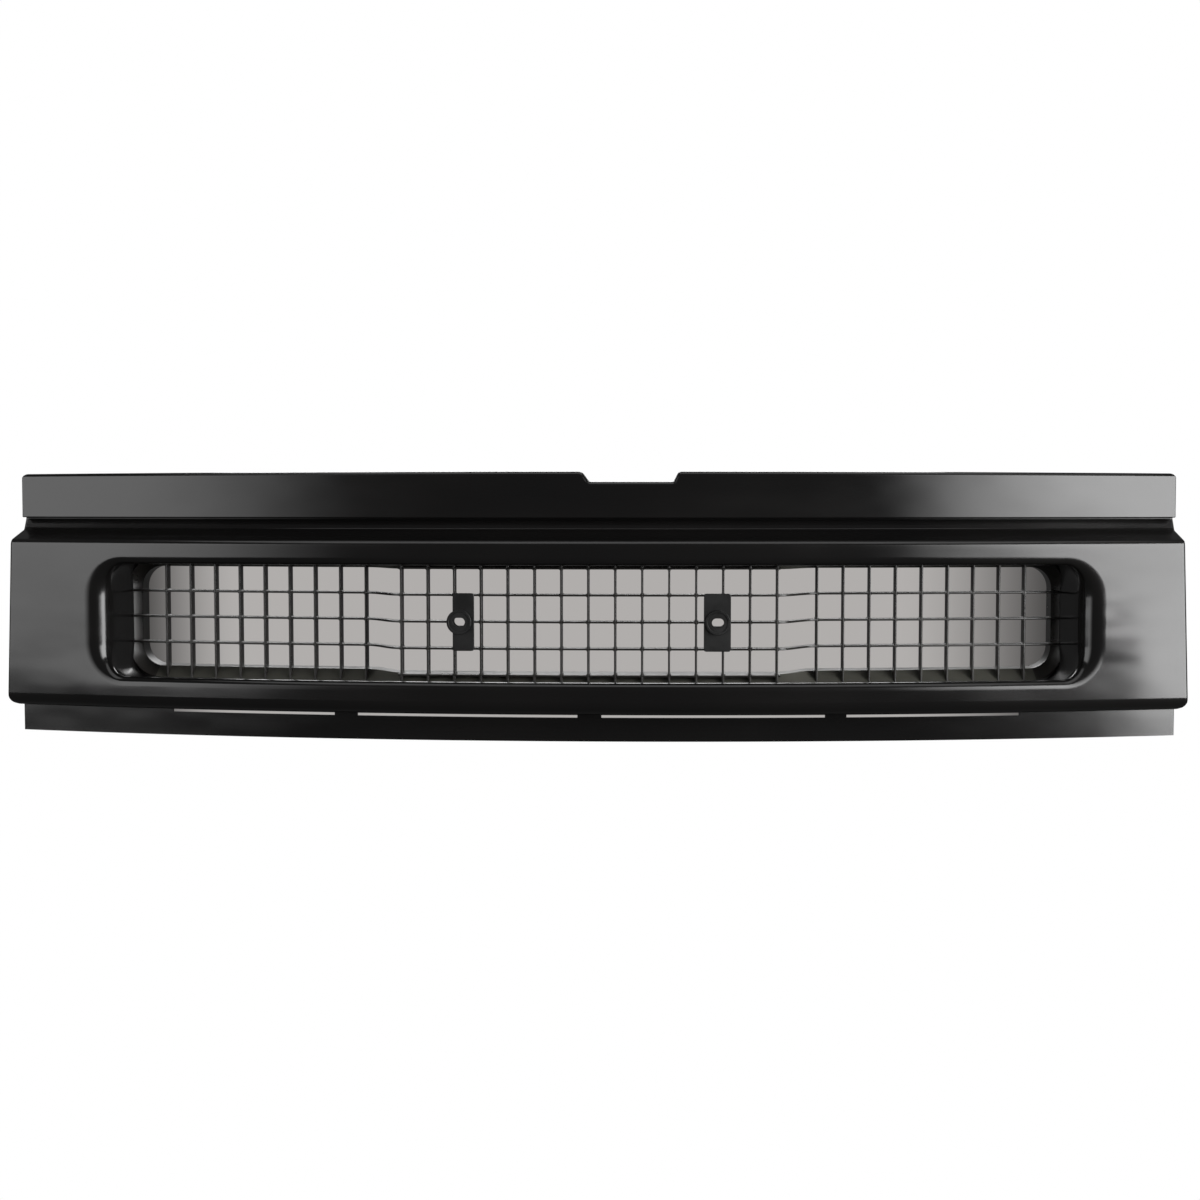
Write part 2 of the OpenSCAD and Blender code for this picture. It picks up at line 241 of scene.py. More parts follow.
class Palette:
    """Every finish of the grille, built once."""

    def __init__(self) -> None:
        """Builds one material for each slot."""
        self.by_slot = {slot: finish.build() for slot, finish in self.finishes().items()}
        # The same plastic given a lighter grey base: painted light that stands for the lit faces
        # of the sill
        self.sill = Finish(
            "abs_black_worn_tool_haze",
            "#3c3c37",
            "#4a4943",
            (0.3, 0.42),
            patch_mm=70,
            grain_mm=0.9,
            grain_depth_mm=0.008,
        ).build()

    @staticmethod
    def finishes() -> dict[Slot, Finish]:
        """Returns the finish that each slot takes."""
        return {
            # Black ABS from a polished tool: soft mirror with faint flow marks and wiping haze
            Slot.GLOSS: Finish(
                "abs_black_polished_tool",
                "#0b0b0c",
                "#151413",
                (0.1, 0.21),
                patch_mm=120,
                stretch=(0.55, 1.0, 1.4),
                grain_mm=1.1,
                grain_depth_mm=0.0022,
                wave_mm=190,
                wave_depth_mm=2.6,
            ),
            # Black ABS from a satin tool; its base tone is lifted, a painted grey sheen that
            # stands for light on the tops of the bars
            Slot.MESH: Finish(
                "abs_black_satin_tool",
                "#1b1a19",
                "#282624",
                (0.24, 0.36),
                patch_mm=60,
                grain_mm=0.9,
                grain_depth_mm=0.008,
            ),
            # Glass-filled nylon, spark-eroded tool: dull and slightly grainy
            Slot.BRACKET: Finish(
                "nylon_black_eroded_tool",
                "#070707",
                "#0e0e0e",
                (0.42, 0.58),
                patch_mm=25,
                grain_mm=0.5,
                grain_depth_mm=0.02,
            ),
            # Zinc-plated steel: a cool, slightly cloudy metal
            Slot.SCREW: Finish(
                "steel_bright_zinc_plated",
                "#9fa4a8",
                "#c4c7c6",
                (0.24, 0.42),
                metallic=1.0,
                patch_mm=4,
                grain_mm=0.3,
                grain_depth_mm=0.004,
            ),
            # Yellow-passivated spring steel: straw with greenish patches
            Slot.CLIP: Finish(
                "spring_steel_yellow_passivated",
                "#a98f4e",
                "#b9ad74",
                (0.28, 0.48),
                metallic=1.0,
                patch_mm=6,
                grain_mm=0.4,
                grain_depth_mm=0.005,
            ),
            # Moulded EPDM rubber: dull charcoal with a bloom
            Slot.BUSH: Finish(
                "epdm_black_compression_moulded",
                "#141414",
                "#232322",
                (0.62, 0.82),
                patch_mm=8,
                grain_mm=0.4,
                grain_depth_mm=0.02,
            ),
            # Closed-cell foam, sliced: small open pores
            Slot.SEAL: Finish(
                "pe_foam_charcoal_sliced",
                "#242426",
                "#343436",
                (0.8, 0.95),
                patch_mm=20,
                grain=Grain.CELLS,
                grain_mm=1.2,
                grain_depth_mm=0.25,
            ),
            # Needled polyester felt: a soft grey nap
            Slot.PAD: Finish(
                "polyester_felt_needled",
                "#3c3d40",
                "#55565a",
                (0.85, 0.98),
                patch_mm=9,
                grain_mm=0.7,
                grain_depth_mm=0.2,
                sheen=0.4,
            ),
        }

    def __getitem__(self, slot: Slot) -> bpy.types.Material:
        """Returns the material of a slot."""
        return self.by_slot[slot]


# ---------------------------------------------------------------- shared shapes


@dataclass(frozen=True)
class PlanCurve:
    """The plan curve that the whole front follows. Lengths are millimetres."""

    radius: float = 2400.0

    def bend(self, points: np.ndarray) -> np.ndarray:
        """Rolls (along, depth, height) round the curve.

        Args:
            points: rows of along, depth and height.

        Returns:
            Rows of X, Y and Z.
        """
        turn = points[:, 0] / self.radius
        reach = self.radius - points[:, 1]
        return np.column_stack(
            [reach * np.sin(turn), self.radius - reach * np.cos(turn), points[:, 2]]
        )

    def along(self, x: float, depth: float = 0.0) -> float:
        """Returns how far along the curve a point at x lies, on the surface at that depth."""
        return self.radius * math.asin(x / (self.radius - depth))

    def set_back(self, x: float, depth: float = 0.0) -> float:
        """Returns Y at x on the surface at that depth."""
        return self.radius - math.sqrt((self.radius - depth) ** 2 - x * x)


class Shape:
    """Points and faces of a mesh as they are gathered. Lengths are millimetres."""

    def __init__(self) -> None:
        """Starts with nothing."""
        self.points: list[Sequence[float]] = []
        self.faces: list[list[int]] = []

    def add(self, rows: np.ndarray) -> list[int]:
        """Adds points and returns their numbers."""
        start = len(self.points)
        self.points.extend(rows.tolist())
        return list(range(start, len(self.points)))

    def quad(self, a: int, b: int, c: int, d: int) -> None:
        """Adds a face, left out where its corners coincide."""
        ring = [p for i, p in enumerate((a, b, c, d)) if p not in (a, b, c, d)[:i]]
        if len(ring) > 2:
            self.faces.append(ring)

    def strip(self, first: list[int], second: list[int], closed: bool = False) -> None:
        """Joins two lines of points with faces.

        Args:
            first: one line's points.
            second: the other line's points.
            closed: joins the ends as well.
        """
        count = len(first)
        for i in range(count if closed else count - 1):
            j = (i + 1) % count
            self.quad(first[i], first[j], second[j], second[i])

    def loft(self, rings: Sequence[np.ndarray], loop: bool = False) -> None:
        """Joins closed rings in order.

        Args:
            rings: rows of points, as many in each.
            loop: joins the last ring to the first instead of capping both.
        """
        lines = [self.add(r) for r in rings]
        for one, two in zip(lines, lines[1:]):
            self.strip(one, two, closed=True)
        if loop:
            self.strip(lines[-1], lines[0], closed=True)
        else:
            self.faces.append(lines[0][::-1])
            self.faces.append(lines[-1])

    def finish(
        self,
        name: str,
        material: bpy.types.Material,
        bend: Callable[[np.ndarray], np.ndarray] | None = None,
        crease: float = 32.0,
        weighted: bool = True,
    ) -> bpy.types.Object:
        """Makes the mesh object.

        Args:
            name: the object's name.
            material: its finish.
            bend: moves the points, still in millimetres.
            crease: the angle in degrees past which an edge is sharp.
            weighted: keeps wide faces flat beside their rounded edges.

        Returns:
            An object at the origin, in metres.
        """
        points = np.array(self.points, float)
        if bend is not None:
            points = bend(points)
        data = bpy.data.meshes.new(name)
        data.from_pydata((points * MM).tolist(), [], self.faces)
        work = bmesh.new()
        work.from_mesh(data)
        bmesh.ops.remove_doubles(work, verts=work.verts, dist=2e-6)
        bmesh.ops.recalc_face_normals(work, faces=work.faces)
        if work.calc_volume(signed=True) < 0:
            bmesh.ops.reverse_faces(work, faces=work.faces)
        work.to_mesh(data)
        work.free()
        data.materials.append(material)
        data.shade_smooth()
        data.set_sharp_from_angle(angle=math.radians(crease))
        made = bpy.data.objects.new(name, data)
        bpy.context.scene.collection.objects.link(made)
        if weighted:
            modifier = made.modifiers.new("weights", "WEIGHTED_NORMAL")
            modifier.keep_sharp = True
            settle(made)
        return made


def settle(made: bpy.types.Object) -> None:
    """Turns an object's modifiers into its plain mesh."""
    graph = bpy.context.evaluated_depsgraph_get()
    mesh = bpy.data.meshes.new_from_object(made.evaluated_get(graph), depsgraph=graph)
    mesh.name = made.name
    made.modifiers.clear()
    made.data = mesh


def rounded(corners: Sequence[Corner], steps: int) -> list[Point2]:
    """Rounds the inner corners of a line.

    Args:
        corners: first and second coordinate and radius of each corner.
        steps: faces round each corner.

    Returns:
        The line's points.
    """
    line: list[Point2] = [corners[0][:2]]
    for (ax, ay, _), (bx, by, r), (cx, cy, _) in zip(corners, corners[1:], corners[2:]):
        into = np.array([bx - ax, by - ay])
        out = np.array([cx - bx, cy - by])
        into, out = into / np.linalg.norm(into), out / np.linalg.norm(out)
        turn = math.atan2(into[0] * out[1] - into[1] * out[0], float(into @ out))
        reach = r * math.tan(abs(turn) / 2)
        start = np.array([bx, by]) - into * reach
        side = np.array([-into[1], into[0]]) * math.copysign(1, turn)
        centre = start + side * r
        for i in range(steps + 1):
            a = turn * i / steps
            spoke = start - centre
            line.append(
                (
                    float(centre[0] + spoke[0] * math.cos(a) - spoke[1] * math.sin(a)),
                    float(centre[1] + spoke[0] * math.sin(a) + spoke[1] * math.cos(a)),
                )
            )
    line.append(corners[-1][:2])
    return line


def inside(corners: Sequence[Corner], wall: float) -> list[Corner]:
    """Moves a cornered line to its left by a wall's thickness.

    Args:
        corners: first and second coordinate and radius of each corner.
        wall: the distance to move.

    Returns:
        The moved corners, their radii changed to keep the wall even.
    """
    spots = [np.array(c[:2]) for c in corners]
    ways = [(b - a) / np.linalg.norm(b - a) for a, b in zip(spots, spots[1:])]
    ways = [ways[0], *ways, ways[-1]]
    moved: list[Corner] = []
    for spot, corner, one, two in zip(spots, corners, ways, ways[1:]):
        left = np.array([-one[1], one[0]]), np.array([-two[1], two[0]])
        place = spot + wall * (left[0] + left[1]) / (1 + float(left[0] @ left[1]))
        turn = one[0] * two[1] - one[1] * two[0]
        radius = max(0.25, corner[2] - math.copysign(wall, turn))
        moved.append((float(place[0]), float(place[1]), radius))
    return moved


def blend(value: float, low: float, high: float) -> float:
    """Returns a smooth step from 0 at low to 1 at high."""
    t = min(1.0, max(0.0, (value - low) / (high - low)))
    return t * t * (3 - 2 * t)


def turned(
    profile: Sequence[Point2], count: int, x: float = 0.0, z: float = 0.0
) -> list[np.ndarray]:
    """Turns a profile about an axis that runs from front to back.

    Args:
        profile: radius and depth of each ring.
        count: points in a ring.
        x: the axis's place across the front.
        z: the axis's height.

    Returns:
        A ring of points for each row of the profile.
    """
    a = np.linspace(0, 2 * math.pi, count, endpoint=False)
    return [
        np.column_stack([x + r * np.cos(a), np.full(count, y), z + r * np.sin(a)])
        for r, y in profile
    ]


# ---------------------------------------------------------------- rows of repeated parts


class ArcRow:
    """A Geometry Nodes tree that repeats a part along the plan curve."""

    NAMES = ("Part", "Count", "Spacing", "First", "Height", "Depth", "Radius", "Material")

    def __init__(self, curve: PlanCurve) -> None:
        """Builds the tree.

        Args:
            curve: the plan curve.
        """
        self.curve = curve
        tree = bpy.data.node_groups.new("row_on_plan_curve", "GeometryNodeTree")
        face = tree.interface
        kinds = ("Object", "Int", "Float", "Float", "Float", "Float", "Float", "Material")
        for name, kind in zip(self.NAMES, kinds):
            face.new_socket(name, in_out="INPUT", socket_type=f"NodeSocket{kind}")
        face.new_socket("Geometry", in_out="OUTPUT", socket_type="NodeSocketGeometry")
        self.tree = tree
        given = add_node(tree, "NodeGroupInput").outputs
        number = add_node(tree, "GeometryNodeInputIndex").outputs[0]
        steps = self.math("MULTIPLY", number, given["Spacing"])
        x = self.math("ADD", steps, given["First"])
        share = self.math("DIVIDE", x, given["Radius"])
        turn = self.math("ARCSINE", share)
        reach = self.math("SUBTRACT", given["Radius"], given["Depth"])
        inward = self.math("MULTIPLY", reach, self.math("COSINE", turn))
        place = add_node(
            tree,
            "ShaderNodeCombineXYZ",
            None,
            {
                0: self.math("MULTIPLY", reach, self.math("SINE", turn)),
                1: self.math("SUBTRACT", given["Radius"], inward),
                2: given["Height"],
            },
        )
        line = add_node(tree, "GeometryNodeMeshLine", None, {"Count": given["Count"]})
        spread = add_node(
            tree,
            "GeometryNodeSetPosition",
            None,
            {"Geometry": line.outputs[0], "Position": place.outputs[0]},
        )
        part = add_node(tree, "GeometryNodeObjectInfo", None, {"Object": given["Part"]})
        rotation = add_node(tree, "ShaderNodeCombineXYZ", None, {2: turn})
        placed = add_node(
            tree,
            "GeometryNodeInstanceOnPoints",
            None,
            {
                "Points": spread.outputs[0],
                "Instance": part.outputs["Geometry"],
                "Rotation": rotation.outputs[0],
            },
        )
        real = add_node(tree, "GeometryNodeRealizeInstances", None, {0: placed.outputs[0]})
        painted = add_node(
            tree,
            "GeometryNodeSetMaterial",
            None,
            {"Geometry": real.outputs[0], "Material": given["Material"]},
        )
        add_node(tree, "NodeGroupOutput", None, {0: painted.outputs[0]})

    def math(self, operation: str, *sources: bpy.types.NodeSocket) -> bpy.types.NodeSocket:
        """Adds one sum and returns its result."""
        links = dict(enumerate(sources))
        return add_node(self.tree, "ShaderNodeMath", None, links, operation=operation).outputs[0]

    def make(
        self,
        name: str,
        part: bpy.types.Object,
        material: bpy.types.Material,
        count: int,
        spacing: float,
        first: float,
        height: float,
        depth: float,
    ) -> bpy.types.Object:
        """Repeats a part.

        Args:
            name: the new object's name.
            part: what is repeated, modelled at the origin.
            material: its finish.
            count: how many there are.
            spacing: the distance between two, across the front, in millimetres.
            first: the first one's distance from the middle.
            height: their height.
            depth: their depth behind the datum.

        Returns:
            A plain mesh object.
        """
        values = (
            part,
            count,
            spacing * MM,
            first * MM,
            height * MM,
            depth * MM,
            self.curve.radius * MM,
            material,
        )
        return run_tree(self.tree, name, dict(zip(self.NAMES, values)))


def run_tree(
    tree: bpy.types.NodeTree, name: str, values: dict[str, object]
) -> bpy.types.Object:
    """Runs a Geometry Nodes tree once and keeps its result as a plain mesh.

    Args:
        tree: the tree.
        name: the new object's name.
        values: the tree's inputs by name.

    Returns:
        The object with the finished mesh.
    """
    made = bpy.data.objects.new(name, bpy.data.meshes.new(name))
    bpy.context.scene.collection.objects.link(made)
    modifier = made.modifiers.new("rows", "NODES")
    modifier.node_group = tree
    sockets = {s.name: s.identifier for s in tree.interface.items_tree if s.in_out == "INPUT"}
    for key, value in values.items():
        modifier[sockets[key]] = value
    settle(made)
    return made


def join(name: str, parts: Sequence[bpy.types.Object]) -> bpy.types.Object:
    """Joins plain mesh objects into one.

    Args:
        name: the joined object's name.
        parts: the objects, all at the origin.

    Returns:
        The first object, which holds all of them.
    """
    with bpy.context.temp_override(
        active_object=parts[0],
        object=parts[0],
        selected_objects=list(parts),
        selected_editable_objects=list(parts),
    ):
        bpy.ops.object.join()
    parts[0].name = name
    parts[0].data.name = name
    return parts[0]


def dress(made: bpy.types.Object, slot: Slot, nodes: Sequence[str]) -> bpy.types.Object:
    """Puts a finished piece on the frame in place of its CAD nodes."""
    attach(made, "root")
    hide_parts(*nodes)
    LOG.info("%s stands for %s", made.name, ", ".join(nodes))
    return made


# ---------------------------------------------------------------- the surround


@dataclass
class SurroundShell:
    """The gloss moulding: a thin shell with the recess, the notch and the drain slots."""

    curve: PlanCurve
    material: bpy.types.Material
    wall: float = 3.0
    corners: tuple[Corner, ...] = (
        (27.0, 139.7, 0.0),
        (5.0, 139.7, 4.0),
        (5.0, 96.5, 0.9),
        (15.0, 96.5, 1.0),
        (10.1, 85.0, 4.5),
        (-25.0, 75.1, 6.0),
        (-25.0, -83.2, 11.6),
        (8.0, -85.5, 1.3),
        (8.0, -112.0, 0.0),
    )
    corner_steps: int = 6
    core_x: float = 439.4
    core_top: float = 22.0
    core_bottom: float = -23.0
    recess_r: float = 38.0
    lip_fillet: float = 7.0
    end_fillet: float = 18.5
    face_x: float = 492.0
    face_top: float = 68.0
    face_bottom: float = -71.5
    face_depth: float = -25.0
    recess_wall: float = 2.6
    recess_seam: float = 1.4
    tunnel_front: float = 3.0
    tunnel_back: float = 36.0
    end_round: float = 2.5
    flange_round: float = 1.2
    end_shares: tuple[float, ...] = (0.3, 0.6, 0.85, 0.98, 1.0)
    end_turns: tuple[float, ...] = (30.0, 60.0, 90.0)
    end_back: float = 30.0
    end_taper: float = 0.96
    lip_half: float = 556.0
    lip_corner: float = 5.0
    band_half: Point2 = (557.0, 563.0)
    band_heights: Point2 = (74.0, -83.0)
    band_corner: float = 8.0
    band_corner_z: float = -75.5
    foot_half: float = 559.0
    inset: float = 0.1
    crown: float = 1.2
    notch: tuple[float, float, float, float] = (-6.8, 0.0, 80.3, 83.9)
    notch_depth: float = 9.5
    lip_top: float = 135.7
    slots: tuple[Point2, ...] = ((-405, -242), (-220, -10.5), (12, 222), (242, 409))
    slot_rows: Point2 = (-87.2, -89.9)
    holes: tuple[float, ...] = (-430.0, -150.0, 150.0, 430.0)
    hole_rows: Point2 = (20.2, 13.8)
    hole_half: float = 3.2
    flange_rows: Point2 = (110.0, 103.0)
    corner_n: int = 7
    shape: Shape = field(default_factory=Shape)

    def lines(self) -> tuple[list[Point2], list[Point2], list[str]]:
        """Works out the section.

        Returns:
            Outer points, inner points and a tag for each: lip, flange, band or foot.
        """
        outer = rounded(self.corners, self.corner_steps)
        inner = rounded(inside(self.corners, self.wall), self.corner_steps)
        extra: list[tuple[int, list[float], int]] = []
        per = self.corner_steps + 1
        # after each corner's round come the wanted stops on the straight that follows
        extra.append((0, list(self.hole_rows), 0))
        extra.append((per, list(self.flange_rows), 1))
        extra.append((5 * per, self.face_rows(), 1))
        extra.append((7 * per, [*self.slot_rows, -100.0], 1))
        tags = self.tags(len(outer), per)
        for after, stops, axis in reversed(extra):
            for line in (outer, inner):
                a, b = line[after], line[after + 1]
                fresh = []
                for stop in stops:
                    t = (stop - a[axis]) / (b[axis] - a[axis])
                    fresh.append((a[0] + (b[0] - a[0]) * t, a[1] + (b[1] - a[1]) * t))
                line[after + 1 : after + 1] = fresh
            tags[after + 1 : after + 1] = [tags[after]] * len(stops)
        return outer, inner, tags

    @staticmethod
    def tags(count: int, per: int) -> list[str]:
        """Names the part of the section that each point belongs to.

        Args:
            count: how many points there are.
            per: points at each rounded corner.

        Returns:
            A name for each point.
        """
        made = []
        for k in range(count):
            corner = (k - 1) // per + 1 if k else 0
            if corner <= 1:
                made.append("lip")
            elif corner <= 3:
                made.append("flange")
            elif corner <= 6:
                made.append("band")
            else:
                made.append("foot")
        return made

    def face_rows(self) -> list[float]:
        """Returns the heights of the band's rows, from the top one down."""
        n = self.corner_n
        top = [self.face_top + (self.core_top - self.face_top) * i / n for i in range(n)]
        depth = self.face_bottom - self.core_bottom
        low = [self.core_bottom + depth * i / n for i in range(n + 1)]
        return [*top, self.core_top, (self.core_top + self.core_bottom) / 2, *low]

    def columns(self) -> list[float]:
        """Returns the distances along the curve of the columns between the band's ends."""
        n = self.corner_n
        edge = [self.core_x + (self.face_x - self.core_x) * i / n for i in range(n + 1)]
        marks = {round(v, 3) for e in edge for v in (e, -e)}
        for a, b in self.slots:
            marks |= {float(a), float(b)}
        for x in self.holes:
            at = self.curve.along(x)
            marks |= {round(at - self.hole_half, 3), round(at + self.hole_half, 3)}
        # a column for every millimetre of the notch's two slopes
        low, _, _, high = self.notch
        marks |= {float(v) for v in np.arange(low - 4, low + 11.5, 1.0)}
        marks |= {float(v) for v in np.arange(high - 9, high + 4.5, 1.0)}
        base = np.linspace(-self.core_x, self.core_x, 81)
        marks |= {float(round(v, 3)) for v in base if min(abs(v - m) for m in marks) > 3.0}
        return sorted(marks)

    def drop(self, s: float) -> float:
        """Returns how far the lip's edge is lowered at s by the notch and the crown."""
        window = np.linspace(-2.0, 2.0, 9) + s
        a, b, c, d = self.notch
        shares = np.clip(np.minimum((window - a) / (b - a), (d - window) / (d - c)), 0, 1)
        return float(shares.mean()) * self.notch_depth + self.crown * (s / self.lip_half) ** 2

    @staticmethod
    def corner_cut(radius: float, over: float) -> float:
        """Returns how far a round corner draws an end in at a height over its start."""
        return radius - math.sqrt(max(0.0, radius * radius - over * over))

    def end_of(self, depth: float, z: float, tag: str) -> float:
        """Works out where a row of the section ends.

        Args:
            depth: the row's depth.
            z: its height.
            tag: the part of the section that it belongs to.

        Returns:
            The distance of its end along the curve.
        """
        if tag in ("lip", "flange"):
            x = self.lip_half - self.corner_cut(self.lip_corner, max(0.0, z - self.lip_top + 1.0))
        elif tag == "band":
            top, bottom = self.band_heights
            narrow, wide = self.band_half
            share = (top - max(bottom, min(top, z))) / (top - bottom)
            x = narrow + (wide - narrow) * share
            x -= self.corner_cut(self.band_corner, max(0.0, self.band_corner_z - z))
        else:
            x = self.foot_half
        return self.curve.along(x - self.inset, depth)

    def place(self, s: float, depth: float, z: float) -> tuple[float, float, float]:
        """Returns a point, lowered where the notch is."""
        still = self.flange_rows[0]
        share = min(1.0, max(0.0, (z - still) / (self.lip_top - still)))
        return (s, depth, z - share * self.drop(s))

    def fillet(self, angle: float) -> tuple[float, float]:
        """Returns the recess's fillet radius and the wall's inset at an angle of its outline."""
        share = abs(math.cos(angle)) ** 1.7
        return (
            self.lip_fillet + (self.end_fillet - self.lip_fillet) * share,
            1.0 + (self.end_fillet - 1.0) * share,
        )

    def throat(self, s: float, z: float) -> list[tuple[float, float, float]]:
        """Returns the line from the band's face, through the recess and round to its back.

        Args:
            s: distance along the curve of the point on the border of the face.
            z: height of that point.

        Returns:
            Points from the face to the inside of the shell.
        """
        over = max(0.0, abs(s) - self.core_x) / (self.face_x - self.core_x)
        if z > self.core_top:
            side, rise = 1, (z - self.core_top) / (self.face_top - self.core_top)
        elif z < self.core_bottom:
            side, rise = -1, (z - self.core_bottom) / (self.face_bottom - self.core_bottom)
        else:
            side, rise = 0, 0.0
        if side == 0:
            angle = 0.0
        elif over >= 0.999:
            angle = math.radians(45 * rise)
        else:
            angle = math.radians(90 - 45 * over)
        hub_s = math.copysign(min(abs(s), self.core_x), s)
        hub_z = self.core_top if side > 0 else self.core_bottom if side < 0 else z
        way_s = math.cos(angle) * (1 if s >= 0 else -1) if over > 0 else 0.0
        way_z = math.sin(angle) * side
        fillet, inset = self.fillet(angle)
        front, r, g = self.face_depth, self.recess_r, self.recess_wall

        def at(radius: float, depth: float) -> tuple[float, float, float]:
            """Returns the point at a radius from the hub and at a depth."""
            return (hub_s + way_s * radius, depth, hub_z + way_z * radius)

        line = [at(r + self.recess_seam, front)]
        turns = [math.radians(90 * i / 7) for i in range(8)]
        line += [at(r - fillet * math.sin(a), front + fillet * (1 - math.cos(a))) for a in turns]
        line += [at(r - inset, self.tunnel_front), at(r - inset, self.tunnel_back - 0.5)]
        line += [at(r - inset + 0.5, self.tunnel_back), at(r - inset + g, self.tunnel_back)]
        line += [at(r - inset + g, self.tunnel_front)]
        small = fillet - g
        line += [
            at(r - small * math.sin(a), front + g + small * (1 - math.cos(a)))
            for a in reversed(turns)
        ]
        return line

    @property
    def end_points(self) -> int:
        """Returns how many points a row has beyond its last column, the rim left out."""
        return len(self.end_shares) + len(self.end_turns)

    def tail(
        self, outer: Point2, inner: Point2, tag: str, edge: float
    ) -> tuple[list[Sequence[float]], list[Sequence[float]]]:
        """Works out how a row of the shell ends.

        Args:
            outer: depth and height of the row on the outside.
            inner: the same on the inside.
            tag: the part of the section that the row belongs to.
            edge: the last column.

        Returns:
            Points beyond the edge, outside with the rim and then inside.
        """
        oy, oz = outer
        stop = self.end_of(oy, oz, tag)
        last = stop - self.wall
        roll = self.end_round if tag == "band" else self.flange_round
        way = np.array(inner) - np.array(outer)
        way = way / np.linalg.norm(way)
        outside = [(edge + (stop - roll - edge) * t, oy, oz) for t in self.end_shares]
        for a in (math.radians(turn) for turn in self.end_turns):
            shift = way * roll * (1 - math.cos(a))
            outside.append((stop - roll * (1 - math.sin(a)), oy + shift[0], oz + shift[1]))
        within = [(edge + (last - edge) * t, *inner) for t in self.end_shares]
        within += [(last, *inner)] * len(self.end_turns)
        if tag == "band":
            outside[-1] = (stop, *outside[-1][1:])
            rim = [(s, self.end_back, oz * self.end_taper) for s in (stop, last)]
        else:
            one, two = np.array(outside[-1]), np.array(within[-1])
            rim = [tuple(one + (two - one) * share) for share in (0.15, 0.85)]
        return [*outside, *rim], within

    def grid(self) -> None:
        """Builds the shell."""
        outer, inner, tags = self.lines()
        columns = self.columns()
        lines_out: list[list[int]] = []
        lines_in: list[list[int]] = []
        for spot_out, spot_in, tag in zip(outer, inner, tags):
            tail_out, tail_in = self.tail(spot_out, spot_in, tag, columns[-1])
            for lines, spot, tail in (
                (lines_out, spot_out, tail_out),
                (lines_in, spot_in, tail_in),
            ):
                mirror = [(-s, y, z) for s, y, z in reversed(tail)]
                middle = [(s, *spot) for s in columns]
                rows = [self.place(*point) for point in [*mirror, *middle, *tail]]
                lines.append(self.shape.add(np.array(rows)))
        removed = self.removed(outer, columns)
        self.skin(lines_out, lines_in, removed)
        self.edges(lines_out, lines_in)
        self.ring(outer, columns, lines_out, lines_in, removed)

    def removed(self, outer: list[Point2], columns: list[float]) -> dict[tuple[int, int], str]:
        """Finds the cells of the shell that are open.

        Args:
            outer: depth and height of each row.
            columns: the columns' distances along the curve.

        Returns:
            What opens each open cell, by row and column: recess, slot or hole.
        """
        cells: dict[tuple[int, int], str] = {}
        foot_y, lip_z = self.corners[-1][0] - self.inset, self.corners[0][1] - self.inset
        for k, (a, b) in enumerate(zip(outer, outer[1:])):
            for c, (s1, s2) in enumerate(zip(columns, columns[1:])):
                mid_s, mid_y, mid_z = (s1 + s2) / 2, (a[0] + b[0]) / 2, (a[1] + b[1]) / 2
                if abs(mid_s) < self.face_x and self.face_bottom < mid_z < self.face_top:
                    cells[k, c] = "recess"
                elif self.slot_rows[1] < mid_z < self.slot_rows[0] and mid_y > foot_y:
                    if any(p < mid_s < q for p, q in self.slots):
                        cells[k, c] = "slot"
                elif mid_z > lip_z and self.hole_rows[1] < mid_y < self.hole_rows[0]:
                    middles = (self.curve.along(x) for x in self.holes)
                    if any(abs(mid_s - middle) < self.hole_half for middle in middles):
                        cells[k, c] = "hole"
        return cells

    def skin(
        self,
        out: list[list[int]],
        into: list[list[int]],
        removed: dict[tuple[int, int], str],
    ) -> None:
        """Adds the shell's outside and inside, with walls round the small openings.

        Args:
            out: point numbers of each row on the outside.
            into: the same on the inside.
            removed: the open cells.
        """
        shift_out, shift_in = self.end_points + 2, self.end_points
        for k in range(len(out) - 1):
            for line, shift in ((out, shift_out), (into, shift_in)):
                one, two = line[k], line[k + 1]
                for c in range(len(one) - 1):
                    if (k, c - shift) not in removed:
                        self.shape.quad(one[c], one[c + 1], two[c + 1], two[c])
        for (k, c), kind in removed.items():
            if kind == "recess":
                continue
            for dk, dc, e1, e2 in (
                (-1, 0, (k, c), (k, c + 1)),
                (1, 0, (k + 1, c), (k + 1, c + 1)),
                (0, -1, (k, c), (k + 1, c)),
                (0, 1, (k, c + 1), (k + 1, c + 1)),
            ):
                if (k + dk, c + dc) not in removed:
                    a, b = (out[r][q + shift_out] for r, q in (e1, e2))
                    d, e = (into[r][q + shift_in] for r, q in (e1, e2))
                    self.shape.quad(a, b, e, d)

    def edges(self, out: list[list[int]], into: list[list[int]]) -> None:
        """Closes the shell's rims: its top, its bottom and its two ends.

        Args:
            out: point numbers of each row on the outside.
            into: the same on the inside.
        """
        for k in (0, -1):
            body_out = out[k][2:-2]
            self.shape.strip(body_out, into[k])
            for line_out, line_in in ((out[k][:3], into[k][:1]), (out[k][-3:], into[k][-1:])):
                self.shape.faces.append([*line_out, line_in[0]])
        for one, two, one_in, two_in in zip(out, out[1:], into, into[1:]):
            self.shape.quad(one[0], two[0], two_in[0], one_in[0])
            self.shape.quad(one[-1], two[-1], two_in[-1], one_in[-1])

